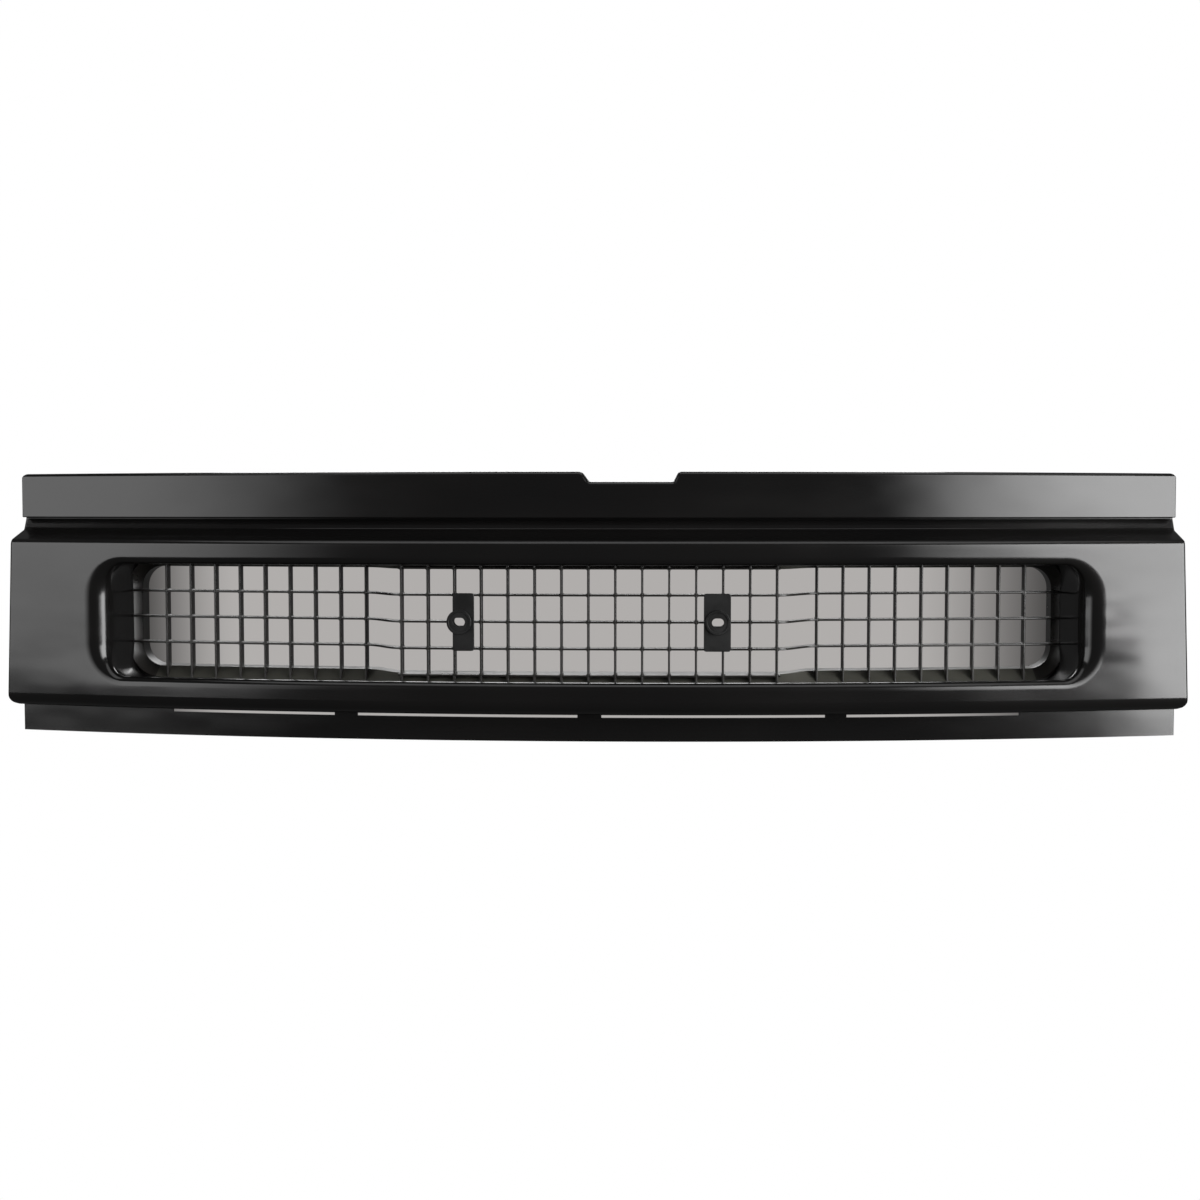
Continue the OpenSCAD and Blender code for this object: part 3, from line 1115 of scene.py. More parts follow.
    def ring(
        self,
        outer: list[Point2],
        columns: list[float],
        out: list[list[int]],
        into: list[list[int]],
        removed: dict[tuple[int, int], str],
    ) -> None:
        """Adds the recess between the border cells of the face, front and back.

        Args:
            outer: depth and height of each row.
            columns: the columns' distances along the curve.
            out: point numbers of each row on the outside.
            into: the same on the inside.
            removed: the open cells.
        """
        cells = [key for key, kind in removed.items() if kind == "recess"]
        k1, k2 = min(k for k, _ in cells), max(k for k, _ in cells) + 1
        c1, c2 = min(c for _, c in cells), max(c for _, c in cells) + 1
        border = [(k1, c) for c in range(c1, c2)]
        border += [(k, c2) for k in range(k1, k2)]
        border += [(k2, c) for c in range(c2, c1, -1)]
        border += [(k, c1) for k in range(k2, k1, -1)]
        lines = []
        for k, c in border:
            inner = self.throat(columns[c], outer[k][1])
            front = out[k][c + self.end_points + 2]
            back = into[k][c + self.end_points]
            lines.append([front, *self.shape.add(np.array(inner)), back])
        for one, two in zip(lines, [*lines[1:], lines[0]]):
            self.shape.strip(one, two)

    def build(self) -> bpy.types.Object:
        """Returns the finished shell."""
        self.grid()
        return self.shape.finish("surround_shell", self.material, self.curve.bend, crease=38)


@dataclass
class SurroundRibs:
    """Ribs, bosses and peg carriers behind the surround."""

    curve: PlanCurve
    rows: ArcRow
    material: bpy.types.Material
    screw_pitch: float = 130.0
    screw_count: int = 7
    screw_heights: Point2 = (68.0, -70.0)
    end_spacing: float = 946.0
    end_heights: Point2 = (30.0, -30.0)
    boss_r: float = 4.2
    bore_r: float = 1.6
    bore_depth: float = 14.0
    boss_back: float = 36.0
    boss_length: float = 36.0
    end_boss_length: float = 58.0
    rib_thick: float = 2.0
    rib_shifts: Point2 = (-35.0, 35.0)
    upper_rib: tuple[Point2, ...] = (
        (-23.6, 61.5),
        (-23.6, 70.0),
        (-19.0, 74.0),
        (9.0, 82.3),
        (20.0, 82.3),
        (30.0, 61.5),
    )
    lower_rib: tuple[Point2, ...] = (
        (-23.6, -62.5),
        (30.0, -62.5),
        (20.0, -83.3),
        (9.0, -83.3),
        (-15.0, -81.3),
        (-23.6, -74.0),
    )
    strut: tuple[Point2, ...] = ((1.0, 58.0), (35.0, 58.0), (35.0, 65.0), (1.0, 65.0))
    strut_heights: Point2 = (1.5, -124.5)
    peg_x: float = 520.0
    peg_z: float = -5.0
    peg_rib_half: float = 1.5
    peg_rib_back: float = 87.5
    peg_profile: tuple[Point2, ...] = (
        (10.6, 78.0),
        (11.0, 78.4),
        (11.0, 87.6),
        (10.6, 88.0),
        (4.6, 88.0),
        (4.0, 88.6),
        (4.0, 108.4),
        (3.2, 109.8),
    )

    def rib(self, name: str, outline: Sequence[Point2]) -> bpy.types.Object:
        """Makes a flat rib with softened edges.

        Args:
            name: the object's name.
            outline: its outline in depth and height.

        Returns:
            The rib, centred on the middle of the front.
        """
        shape = Shape()
        middle = np.mean(np.array(outline), axis=0)
        rings = []
        for x, share in ((-0.5, 0.985), (-0.4, 1.0), (0.4, 1.0), (0.5, 0.985)):
            spots = middle + (np.array(outline) - middle) * share
            rings.append(np.column_stack([np.full(len(spots), x * self.rib_thick), spots]))
        shape.loft(rings)
        return shape.finish(name, self.material)

    def boss(self, name: str, length: float) -> bpy.types.Object:
        """Makes a screw boss with its bore.

        Args:
            name: the object's name.
            length: from its open end, at depth 0, to its root in front.

        Returns:
            The boss.
        """
        shape = Shape()
        profile = (
            (self.bore_r, -self.bore_depth),
            (self.bore_r, -0.6),
            (self.bore_r + 0.5, 0.0),
            (self.boss_r - 0.4, 0.0),
            (self.boss_r, -0.4),
            (self.boss_r * 1.05, -length),
        )
        shape.loft(turned(profile, 24))
        return shape.finish(name, self.material)

    def peg(self, side: Side) -> bpy.types.Object:
        """Makes the rib and the locating peg at one end.

        Args:
            side: which end.

        Returns:
            The rib and the peg as one object.
        """
        shape = Shape()
        x = self.peg_x * side.value
        front, back = self.curve.set_back(self.peg_x, -25.0) + 1.5, self.peg_rib_back
        outline = np.array(
            [(front, -76.0), (back, -70.0), (back, 62.0), (front + 12, 72.0), (front, 71.0)]
        )
        sides = (x - self.peg_rib_half, x + self.peg_rib_half)
        shape.loft([np.column_stack([np.full(len(outline), at), outline]) for at in sides])
        shape.loft(turned(self.peg_profile, 32, x, self.peg_z))
        return shape.finish(f"peg_{side.name.lower()}", self.material)

    def repeat(
        self, name: str, part: bpy.types.Object, shift: float, height: float, depth: float
    ) -> bpy.types.Object:
        """Returns a row of parts at the screws' pitch, shifted along the front."""
        first = shift - self.screw_pitch * (self.screw_count - 1) / 2
        return self.rows.make(
            name, part, self.material, self.screw_count, self.screw_pitch, first, height, depth
        )

    def end_bosses(self, part: bpy.types.Object, height: float) -> bpy.types.Object:
        """Returns the two long bosses at one height, one beyond each end of the recess."""
        name, gap = f"end_bosses_{int(height)}", self.end_spacing
        return self.rows.make(
            name, part, self.material, 2, gap, -gap / 2, height, self.boss_back
        )

    def build(self) -> list[bpy.types.Object]:
        """Returns every rib, boss and peg."""
        made: list[bpy.types.Object] = []
        for label, outline in (("upper", self.upper_rib), ("lower", self.lower_rib)):
            part = self.rib(f"rib_{label}_one", outline)
            for shift in self.rib_shifts:
                made.append(self.repeat(f"ribs_{label}_{int(shift)}", part, shift, 0.0, 0.0))
            bpy.data.objects.remove(part)
        boss = self.boss("boss_one", self.boss_length)
        for z in self.screw_heights:
            made.append(self.repeat(f"bosses_{int(z)}", boss, 0.0, z, self.boss_back))
        strut = self.rib("strut_one", self.strut)
        for z in self.strut_heights:
            made.append(self.repeat(f"struts_{int(z)}", strut, 0.0, z, 0.0))
        tall = self.boss("boss_long", self.end_boss_length)
        made += [self.end_bosses(tall, z) for z in self.end_heights]
        for part in (boss, strut, tall):
            bpy.data.objects.remove(part)
        made += [self.peg(side) for side in Side]
        return made


# ---------------------------------------------------------------- the mesh insert


class BarTree:
    """The Geometry Nodes tree that makes the bars of a stepped mesh and bends them."""

    LENGTHS = (
        "Pitch",
        "Bar thickness",
        "Bar depth",
        "Edge round",
        "Step",
        "Plan radius",
        "Ramp start",
        "Ramp end",
    )

    def __init__(self) -> None:
        """Starts the tree with its inputs and the bars' section."""
        self.tree = bpy.data.node_groups.new("stepped_mesh", "GeometryNodeTree")
        face = self.tree.interface
        for name in self.LENGTHS:
            face.new_socket(name, in_out="INPUT", socket_type="NodeSocketFloat")
        face.new_socket("Gusset", in_out="INPUT", socket_type="NodeSocketObject")
        face.new_socket("Material", in_out="INPUT", socket_type="NodeSocketMaterial")
        face.new_socket("Geometry", in_out="OUTPUT", socket_type="NodeSocketGeometry")
        self.given = add_node(self.tree, "NodeGroupInput").outputs
        self.pieces: list[bpy.types.NodeSocket] = []
        self.half_depth = self.sums("MULTIPLY", self.given["Bar depth"], 0.5)
        box = self.add(
            "GeometryNodeCurvePrimitiveQuadrilateral",
            None,
            {"Width": self.given["Bar thickness"], "Height": self.given["Bar depth"]},
        )
        self.section = self.add(
            "GeometryNodeFilletCurve",
            {"Count": 3},
            {"Curve": box, "Radius": self.given["Edge round"]},
            mode="POLY",
        )

    def add(
        self,
        kind: str,
        settings: dict[str, object] | None = None,
        links: dict[str | int, bpy.types.NodeSocket] | None = None,
        **attributes: object,
    ) -> bpy.types.NodeSocket:
        """Adds a node to the tree and returns its first output."""
        return add_node(self.tree, kind, settings, links, **attributes).outputs[0]

    def sums(self, operation: str, *sources: object) -> bpy.types.NodeSocket:
        """Adds one sum of sockets and plain numbers and returns its result."""
        links = {i: s for i, s in enumerate(sources) if not isinstance(s, float)}
        plain = {i: s for i, s in enumerate(sources) if isinstance(s, float)}
        return self.add("ShaderNodeMath", plain, links, operation=operation)

    def bars(self, length: float, cuts: int, points: bpy.types.NodeSocket, upright: bool) -> None:
        """Adds a bar at every point.

        Args:
            length: the bar's length in millimetres.
            cuts: points along the bar, which let it bend.
            points: where the bars' middles go.
            upright: stands the bars up instead of laying them across.
        """
        end = length * MM / 2
        line = self.add(
            "GeometryNodeCurvePrimitiveLine", {"Start": (0.0, 0.0, -end), "End": (0.0, 0.0, end)}
        )
        line = self.add("GeometryNodeResampleCurve", {"Count": cuts}, {"Curve": line})
        bar = self.add(
            "GeometryNodeCurveToMesh",
            {"Fill Caps": True},
            {"Curve": line, "Profile Curve": self.section},
        )
        turn = (0.0, 0.0, 0.0) if upright else (0.0, math.pi / 2, 0.0)
        self.pieces.append(
            self.add(
                "GeometryNodeInstanceOnPoints",
                {"Rotation": turn},
                {"Points": points, "Instance": bar},
            )
        )

    def spots(
        self, columns: int, rows: int, x: float, gap: float = 1.0, gap_x: float = 1.0
    ) -> bpy.types.NodeSocket:
        """Lays out a field of points.

        Args:
            columns: points across.
            rows: points up.
            x: the field's middle in millimetres.
            gap: the distance between rows in pitches.
            gap_x: the distance between columns in pitches.

        Returns:
            The points.
        """
        wide = self.sums("MULTIPLY", self.given["Pitch"], float(columns - 1) * gap_x)
        tall = self.sums("MULTIPLY", self.given["Pitch"], float(rows - 1) * gap)
        grid = self.add(
            "GeometryNodeMeshGrid",
            {"Vertices X": max(columns, 2), "Vertices Y": max(rows, 2)},
            {"Size X": wide, "Size Y": tall},
        )
        merged = self.add("GeometryNodeMergeByDistance", {"Distance": 0.0001}, {"Geometry": grid})
        return self.add(
            "GeometryNodeTransform",
            {"Rotation": (math.pi / 2, 0.0, 0.0), "Translation": (x * MM, 0.0, 0.0)},
            {"Geometry": merged},
        )

    def gussets(self, sites: Sequence[bpy.types.NodeSocket]) -> None:
        """Adds the crossing's fillets at every site.

        Args:
            sites: fields of points, one for each crossing.
        """
        part = add_node(
            self.tree, "GeometryNodeObjectInfo", None, {"Object": self.given["Gusset"]}
        ).outputs["Geometry"]
        forward = self.sums("MULTIPLY", self.half_depth, -1.0)
        shift = self.add("ShaderNodeCombineXYZ", None, {1: forward})
        for site in sites:
            placed = self.add(
                "GeometryNodeInstanceOnPoints", None, {"Points": site, "Instance": part}
            )
            self.pieces.append(
                self.add(
                    "GeometryNodeTranslateInstances",
                    None,
                    {"Instances": placed, "Translation": shift},
                )
            )

    def finish(self) -> bpy.types.NodeTree:
        """Joins the pieces, bends them round the plan curve with the step, and paints them.

        Returns:
            The finished tree.
        """
        given, sums = self.given, self.sums
        joined = add_node(self.tree, "GeometryNodeJoinGeometry")
        for piece in reversed(self.pieces):
            self.tree.links.new(piece, joined.inputs[0])
        real = self.add("GeometryNodeRealizeInstances", None, {0: joined.outputs[0]})
        x = self.add("ShaderNodeSeparateXYZ", None, {0: self.add("GeometryNodeInputPosition")})
        ramp = add_node(
            self.tree,
            "ShaderNodeMapRange",
            None,
            {
                "Value": sums("ABSOLUTE", x),
                "From Min": given["Ramp start"],
                "From Max": given["Ramp end"],
                "To Max": given["Step"],
            },
            interpolation_type="SMOOTHSTEP",
        ).outputs["Result"]
        reach = sums("SUBTRACT", given["Plan radius"], ramp)
        squares = sums("SUBTRACT", sums("MULTIPLY", reach, reach), sums("MULTIPLY", x, x))
        back = sums("SUBTRACT", given["Plan radius"], sums("SQRT", squares))
        offset = self.add("ShaderNodeCombineXYZ", None, {1: sums("ADD", back, self.half_depth)})
        bent = self.add("GeometryNodeSetPosition", None, {"Geometry": real, "Offset": offset})
        painted = self.add(
            "GeometryNodeSetMaterial", None, {"Geometry": bent, "Material": given["Material"]}
        )
        add_node(self.tree, "NodeGroupOutput", None, {0: painted})
        return self.tree


@dataclass
class MeshInsert:
    """The stepped mesh, its sill and its fixing flange."""

    curve: PlanCurve
    material: bpy.types.Material
    # painted light: the lighter grey that stands for the lit sill
    sill_painted_light_material: bpy.types.Material
    pitch: float = 25.0
    bar_t: float = 2.0
    bar_d: float = 13.0
    bar_round: float = 0.55
    step: float = 33.0
    step_low: float = 177.0
    step_high: float = 213.0
    centre_columns: int = 15
    wing_columns: int = 9
    wing_start: float = 214.6
    row_reach: float = 451.0
    upright_reach: float = 59.3
    gusset_r: float = 2.1
    gusset_sink: float = 0.25
    gusset_inset: float = 0.7
    passages: tuple[float, ...] = (-127.2, -114.6, 114.2, 126.6)
    passage_h: float = 10.0
    outer_pair: float = 162.5
    parted_gap: float = 10.0
    sill_half: float = 425.0
    # core half width, top and bottom of the mesh's window and of the flange's
    window: Corner = (422.0, 28.0, -28.0)
    flange_window: Corner = (438.0, 22.0, -23.0)
    # radius about the core, depth, whether it follows the step, whether it is the flange's
    rings: tuple[tuple[float, float, bool, bool], ...] = (
        (31.3, 0.1, True, False),
        (31.0, 0.0, True, False),
        (21.2, 11.6, True, False),
        (20.8, 12.6, True, False),
        (20.8, 32.6, True, False),
        (22.6, 32.6, True, False),
        (22.8, 13.0, True, False),
        (26.0, 9.0, True, False),
        (29.6, 39.0, False, False),
        (50.5, 38.8, False, True),
        (50.5, 36.3, False, True),
        (31.6, 36.3, False, False),
        (31.4, 1.0, True, False),
    )

    def gusset(self) -> bpy.types.Object:
        """Makes the four small fillets of one crossing."""
        shape = Shape()
        h, r = self.bar_t / 2 - self.gusset_sink, self.gusset_r + self.gusset_sink
        turns = [math.radians(a) for a in (180, 202.5, 225, 247.5, 270)]
        line = [(h, h)] + [(h + r + r * math.cos(a), h + r + r * math.sin(a)) for a in turns]
        for signs in ((-1, -1), (-1, 1), (1, -1), (1, 1)):
            spots = np.array(line) * np.array(signs)
            shape.loft(
                [
                    np.column_stack([spots[:, 0], np.full(len(spots), y), spots[:, 1]])
                    for y in (self.gusset_inset, self.bar_d - self.gusset_inset)
                ]
            )
        return shape.finish("gusset_one", self.material, weighted=False)

    def tree(self) -> bpy.types.NodeTree:
        """Lays out the rows, uprights and crossings.

        Returns:
            A tree with the mesh's sizes as named inputs.
        """
        made = BarTree()
        wing_x = self.wing_start + (self.wing_columns - 1) * self.pitch / 2
        made.bars(2 * self.row_reach, 181, made.spots(1, 2, 0.0, gap=2.0), upright=False)
        made.bars(2 * (self.step_low + 1), 41, made.spots(1, 2, 0.0, gap=4.0), upright=False)
        # the middle row and two uprights are parted behind the badge slots
        stops = (-self.row_reach, *self.passages, self.row_reach)
        for a, b in zip(stops[::2], stops[1::2]):
            made.bars(b - a, int((b - a) / 5) + 1, made.spots(1, 1, (a + b) / 2), upright=False)
        clear = self.passage_h / 2
        parted = [
            made.spots(2, 1, -self.outer_pair),
            made.spots(self.centre_columns - 6, 1, 0.0),
            made.spots(2, 1, self.outer_pair),
        ]
        for points in parted:
            made.bars(2 * self.upright_reach, 5, points, upright=True)
        spread = (self.upright_reach + clear) / self.pitch
        halves = made.spots(2, 2, 0.0, gap=spread, gap_x=self.parted_gap)
        made.bars(self.upright_reach - clear, 3, halves, upright=True)
        for side in Side:
            wing = made.spots(self.wing_columns, 1, side.value * wing_x)
            made.bars(2 * self.upright_reach, 5, wing, upright=True)
        sites = [made.spots(self.centre_columns, 2, 0.0, gap=g) for g in (2.0, 4.0)] + parted
        sites += [made.spots(self.wing_columns, 3, side.value * wing_x) for side in Side]
        made.gussets(sites)
        return made.finish()

    def bars(self) -> bpy.types.Object:
        """Returns every bar of the mesh as one object."""
        gusset = self.gusset()
        lengths = (
            self.pitch,
            self.bar_t,
            self.bar_d,
            self.bar_round,
            self.step,
            self.curve.radius,
            self.step_low,
            self.step_high,
        )
        values = {name: length * MM for name, length in zip(BarTree.LENGTHS, lengths)}
        values |= {"Gusset": gusset, "Material": self.material}
        made = run_tree(self.tree(), "mesh_bars", values)
        bpy.data.objects.remove(gusset)
        made.data.shade_smooth()
        made.data.set_sharp_from_angle(angle=math.radians(40))
        return made

    def outline(self, core_x: float, top: float, bottom: float, r: float) -> np.ndarray:
        """Works out the outline of a rounded window, always with as many points.

        Args:
            core_x: half the width of the core that the corners are centred on.
            top: the core's top.
            bottom: the core's bottom.
            r: the corners' radius.

        Returns:
            Rows of x and z.
        """
        turns = [math.radians(90 * i / 10) for i in range(11)]
        along = np.linspace(core_x, -core_x, 119)[1:-1]
        spots = [(core_x + r * math.cos(a), top + r * math.sin(a)) for a in turns]
        spots += [(x, top + r) for x in along]
        spots += [(-core_x - r * math.sin(a), top + r * math.cos(a)) for a in turns]
        spots += [(-core_x - r, (top + bottom) / 2)]
        spots += [(-core_x - r * math.cos(a), bottom - r * math.sin(a)) for a in turns]
        spots += [(-x, bottom - r) for x in along]
        spots += [(core_x + r * math.sin(a), bottom - r * math.cos(a)) for a in turns]
        spots += [(core_x + r, (top + bottom) / 2)]
        return np.array(spots)

    def ring(self, r: float, depth: float, steps: bool, flange: bool) -> np.ndarray:
        """Returns one ring of the frame.

        Args:
            r: radius about the window's core.
            depth: depth behind the mesh's front, or behind the datum.
            steps: follows the step of the mesh.
            flange: uses the flange's wider core.

        Returns:
            Rows of x, y and z.
        """
        rows = []
        for x, z in self.outline(*(self.flange_window if flange else self.window), r):
            step = self.step * blend(abs(x), self.step_low, self.step_high) if steps else 0.0
            rows.append((x, self.curve.set_back(x, step) + depth, z))
        return np.array(rows)

    def frame(self) -> bpy.types.Object:
        """Returns the sill, its outer wall and the fixing flange as one closed ring."""
        shape = Shape()
        shape.loft([self.ring(*ring) for ring in self.rings], loop=True)
        made = shape.finish("mesh_frame", self.sill_painted_light_material, crease=38)
        made.data.materials.append(self.material)
        # Painted light: faces of the sill keep the lighter grey, while the ends and the flange
        # ring take the dark mesh finish
        for face in made.data.polygons:
            x, _, z = face.center / MM
            face.material_index = int(abs(x) > self.sill_half or abs(z) > self.upright_reach)
        return made

    def build(self) -> bpy.types.Object:
        """Returns the whole insert."""
        return join("mesh_insert_moulding", [self.bars(), self.frame()])


# ---------------------------------------------------------------- brackets and screws


@dataclass
class BadgeBracket:
    """One badge bracket with its ringed slot, and the clamp plate behind it."""

    side: Side
    material: bpy.types.Material
    left: float
    right: float
    hub: float
    post: float
    clamp_left: float
    clamp_right: float
    half_h: float = 26.9
    clamp_h: float = 25.9
    slot_l: float = 11.0
    slot_h: float = 8.0
    post_z: float = 17.0
    points: int = 96

    def circle(self, r: float) -> np.ndarray:
        """Returns a circle about the slot as rows of x and z."""
        a = np.linspace(0, 2 * math.pi, self.points, endpoint=False)
        return np.column_stack([self.hub + r * np.cos(a), r * np.sin(a)])

    def slot(self, length: float, height: float) -> np.ndarray:
        """Returns a slot's outline with flat sides and round ends."""
        a = np.linspace(0, 2 * math.pi, self.points, endpoint=False)
        shift = (length - height) / 2 * np.sign(np.round(np.cos(a), 9))
        return np.column_stack(
            [self.hub + shift + height / 2 * np.cos(a), height / 2 * np.sin(a)]
        )

    def plate(self, x1: float, x2: float, half: float, cut: float) -> np.ndarray:
        """Works out a plate's outline with rounded corners, seen from the slot's middle.

        Args:
            x1: its left edge.
            x2: its right edge.
            half: half its height.
            cut: its corners' radius.

        Returns:
            Rows of x and z, one for each direction from the slot's middle.
        """
        a = np.linspace(0, 2 * math.pi, self.points, endpoint=False)
        spots = []
        for c, s in zip(np.cos(a), np.sin(a)):
            edge = x2 if c > 0 else x1
            reach_x = (edge - self.hub) / c if abs(c) > 1e-9 else math.inf
            reach = min(reach_x, half / abs(s) if abs(s) > 1e-9 else math.inf)
            x, z = self.hub + reach * c, reach * s
            over = max(0.0, x - (x2 - cut), (x1 + cut) - x), max(0.0, abs(z) - (half - cut))
            far = math.hypot(*over)
            if min(over) > 0 and far > cut:
                x -= math.copysign(over[0] * (1 - cut / far), x - (x1 + x2) / 2)
                z -= math.copysign(over[1] * (1 - cut / far), z)
            spots.append((x, z))
        return np.array(spots)

    @staticmethod
    def at(outline: np.ndarray, y: float) -> np.ndarray:
        """Puts an outline at a depth."""
        return np.column_stack([outline[:, 0], np.full(len(outline), y), outline[:, 1]])

    def plates(
        self, x1: float, x2: float, half: float, cut: float, steps: Sequence[Point2]
    ) -> list[np.ndarray]:
        """Returns a plate's outline drawn in and put at a depth, for each of the steps."""
        return [self.at(self.plate(x1 + c, x2 - c, half - c, cut), y) for c, y in steps]

    def bracket(self) -> bpy.types.Object:
        """Returns the bracket, its ring, its slot and its two posts."""
        shape = Shape()
        ring = ((11.5, 0.3), (11.5, -1.3), (11.1, -1.7), (9.6, -1.7), (9.3, -1.4), (9.2, -0.9))
        slot = ((0.6, -0.9), (0.0, -0.6), (0.0, 2.0), (0.6, 2.3))
        edge = ((0.3, 2.3), (0.0, 2.0), (0.0, 0.6), (0.3, 0.3))
        rings = [self.at(self.circle(r), y) for r, y in ring]
        rings += [self.at(self.slot(self.slot_l + c, self.slot_h + c), y) for c, y in slot]
        rings += self.plates(self.left, self.right, self.half_h, 2.0, edge)
        shape.loft(rings, loop=True)
        post = ((1.2, 4.4), (1.2, 15.9), (1.6, 16.4), (3.0, 16.4), (3.4, 16.0), (3.4, 2.1))
        for z in (-self.post_z, self.post_z):
            shape.loft(turned(post, 24, self.post, z))
        return shape.finish(f"badge_bracket_{self.side.name.lower()}_part", self.material)

    def clamp(self) -> bpy.types.Object:
        """Returns the clamp plate with its clearance slot."""
        shape = Shape()
        x1, x2 = self.clamp_left + 0.05, self.clamp_right - 0.05
        edge = ((0.4, 17.25), (0.0, 17.6), (0.0, 19.3), (0.4, 19.65))
        length, height = self.slot_l + 2.0, self.slot_h + 1.0
        wide, tight = self.slot(length + 0.6, height + 0.6), self.slot(length, height)
        rings = [self.at(wide, 17.25), *self.plates(x1, x2, self.clamp_h, 2.5, edge)]
        rings += [self.at(wide, 19.65), self.at(tight, 19.4), self.at(tight, 17.5)]
        shape.loft(rings, loop=True)
        return shape.finish(f"bracket_clamp_{self.side.name.lower()}_part", self.material)


@dataclass(frozen=True)
class ScrewSize:
    """A pan-head screw's radii, head height and thread length in millimetres."""

    thread_r: float
    head_r: float
    head_h: float
    length: float


@dataclass
class ScrewMaker:
    """Pan-head screws, modelled once for each size and repeated along the plan curve."""

    rows: ArcRow
    material: bpy.types.Material
    large: ScrewSize = ScrewSize(1.55, 3.95, 2.55, 13.8)
    small: ScrewSize = ScrewSize(1.12, 3.05, 1.95, 11.8)
    thread_pitch: float = 0.9
    recess_arm: float = 0.14
    recess_depth: float = 0.62
    pitch: float = 130.0
    count: int = 7
    upper_z: float = 68.0
    lower_z: float = -70.0
    end_spacing: float = 946.0
    end_z: float = 30.0
    seat: float = 39.06
    pair_x: float = 112.3
    pair_z: float = 17.0
    pair_seat: float = 19.76

    def screw(self, name: str, size: ScrewSize) -> bpy.types.Object:
        """Makes a screw that points forward.

        Args:
            name: the object's name.
            size: its sizes.

        Returns:
            The screw at the origin, its head's seat at depth 0.
        """
        r, head_r, head_h, tip = size.thread_r, size.head_r, size.head_h, -size.length
        profile = [(0.1 * r, tip), (0.75 * r, tip + 1.2)]
        for i in range(int((size.length - 2.2) / self.thread_pitch)):
            y = tip + 1.4 + self.thread_pitch * i
            profile += [(0.8 * r, y), (r, y + 0.4), (r, y + 0.5)]
        profile += [(0.8 * r, -0.6), (r, -0.1), (head_r * 0.96, 0.0), (head_r, 0.25)]
        for t in (0.35, 0.6, 0.8, 0.95):
            profile.append((head_r * math.sqrt(1 - (t * 0.93) ** 2), 0.25 + (head_h - 0.27) * t))
        profile.append((head_r * 0.55, head_h))
        rings = turned(profile, 24)
        # the cross recess: points near either arm's middle line are sunk
        for rim in turned([(head_r * share * 0.6, head_h) for share in (0.4, 0.25, 0.1)], 24):
            deep = np.minimum(abs(rim[:, 0]), abs(rim[:, 2])) < self.recess_arm * head_r
            rim[:, 1] -= self.recess_depth * head_h * deep
            rings.append(rim)
        shape = Shape()
        shape.loft(rings)
        return shape.finish(name, self.material, weighted=False)

    def row(
        self, name: str, part: bpy.types.Object, count: int, pitch: float, height: float
    ) -> bpy.types.Object:
        """Returns one row of screws behind the insert's flange, even about the middle."""
        first = -pitch * (count - 1) / 2
        return self.rows.make(name, part, self.material, count, pitch, first, height, self.seat)

    def build(self) -> None:
        """Makes every screw and puts it on the frame."""
        large = self.screw("screw_large", self.large)
        upper = self.row("upper_screws", large, self.count, self.pitch, self.upper_z)
        dress(upper, Slot.SCREW, ["upper_insert_screws"])
        lower = self.row("lower_screws", large, self.count, self.pitch, self.lower_z)
        dress(lower, Slot.SCREW, ["lower_insert_screws"])
        heights = (-self.end_z, self.end_z)
        ends = [self.row(f"end_{int(z)}", large, 2, self.end_spacing, z) for z in heights]
        dress(join("end_screws", ends), Slot.SCREW, ["end_insert_screws"])
        small = self.screw("screw_small", self.small)
        depth = self.pair_seat - self.rows.curve.set_back(self.pair_x)
        pairs = [
            self.rows.make(
                f"pair_{int(x)}_{int(z)}", small, self.material, 1, 0.0, x, z, depth
            )
            for z in (-self.pair_z, self.pair_z)
            for x in (-self.pair_x, self.pair_x)
        ]
        dress(join("bracket_screw_set", pairs), Slot.SCREW, ["bracket_screws"])
        for part in (large, small):
            bpy.data.objects.remove(part)


# ---------------------------------------------------------------- studio


def glowing(
    name: str, corners: Sequence[Sequence[float]], tone: str = "#ffffff", glow: float = 1.0
) -> tuple[bpy.types.Object, bpy.types.Node]:
    """Makes a flat card that glows by itself.

    Args:
        name: the object's name.
        corners: its corners in metres.
        tone: its colour as an sRGB hex code.
        glow: its brightness.

    Returns:
        The card, staged, and the node that makes its light.
    """
    data = bpy.data.meshes.new(name)
    data.from_pydata([tuple(c) for c in corners], [], [tuple(range(len(corners)))])
    material = bpy.data.materials.new(name)
    material.use_nodes = True
    tree = material.node_tree
    tree.nodes.clear()
    shine = add_node(tree, "ShaderNodeEmission", {"Color": linear(tone), "Strength": glow})
    add_node(tree, "ShaderNodeOutputMaterial", None, {"Surface": shine.outputs[0]})
    data.materials.append(material)
    made = bpy.data.objects.new(name, data)
    bpy.context.scene.collection.objects.link(made)
    return made, shine


def across(
    tree: bpy.types.NodeTree, start: float, end: float, low: float, high: float
) -> bpy.types.NodeSocket:
    """Adds a smooth step across a card.

    Args:
        tree: the card's material.
        start: share of the width where the step starts.
        end: share of the width where it ends.
        low: the value at the start.
        high: the value at the end.

    Returns:
        The step's value.
    """
    place = add_node(tree, "ShaderNodeTexCoord").outputs["Generated"]
    x = add_node(tree, "ShaderNodeSeparateXYZ", None, {0: place}).outputs[0]
    limits = {"From Min": start, "From Max": end, "To Min": low, "To Max": high}
    return add_node(
        tree, "ShaderNodeMapRange", limits, {"Value": x}, interpolation_type="SMOOTHSTEP"
    ).outputs["Result"]


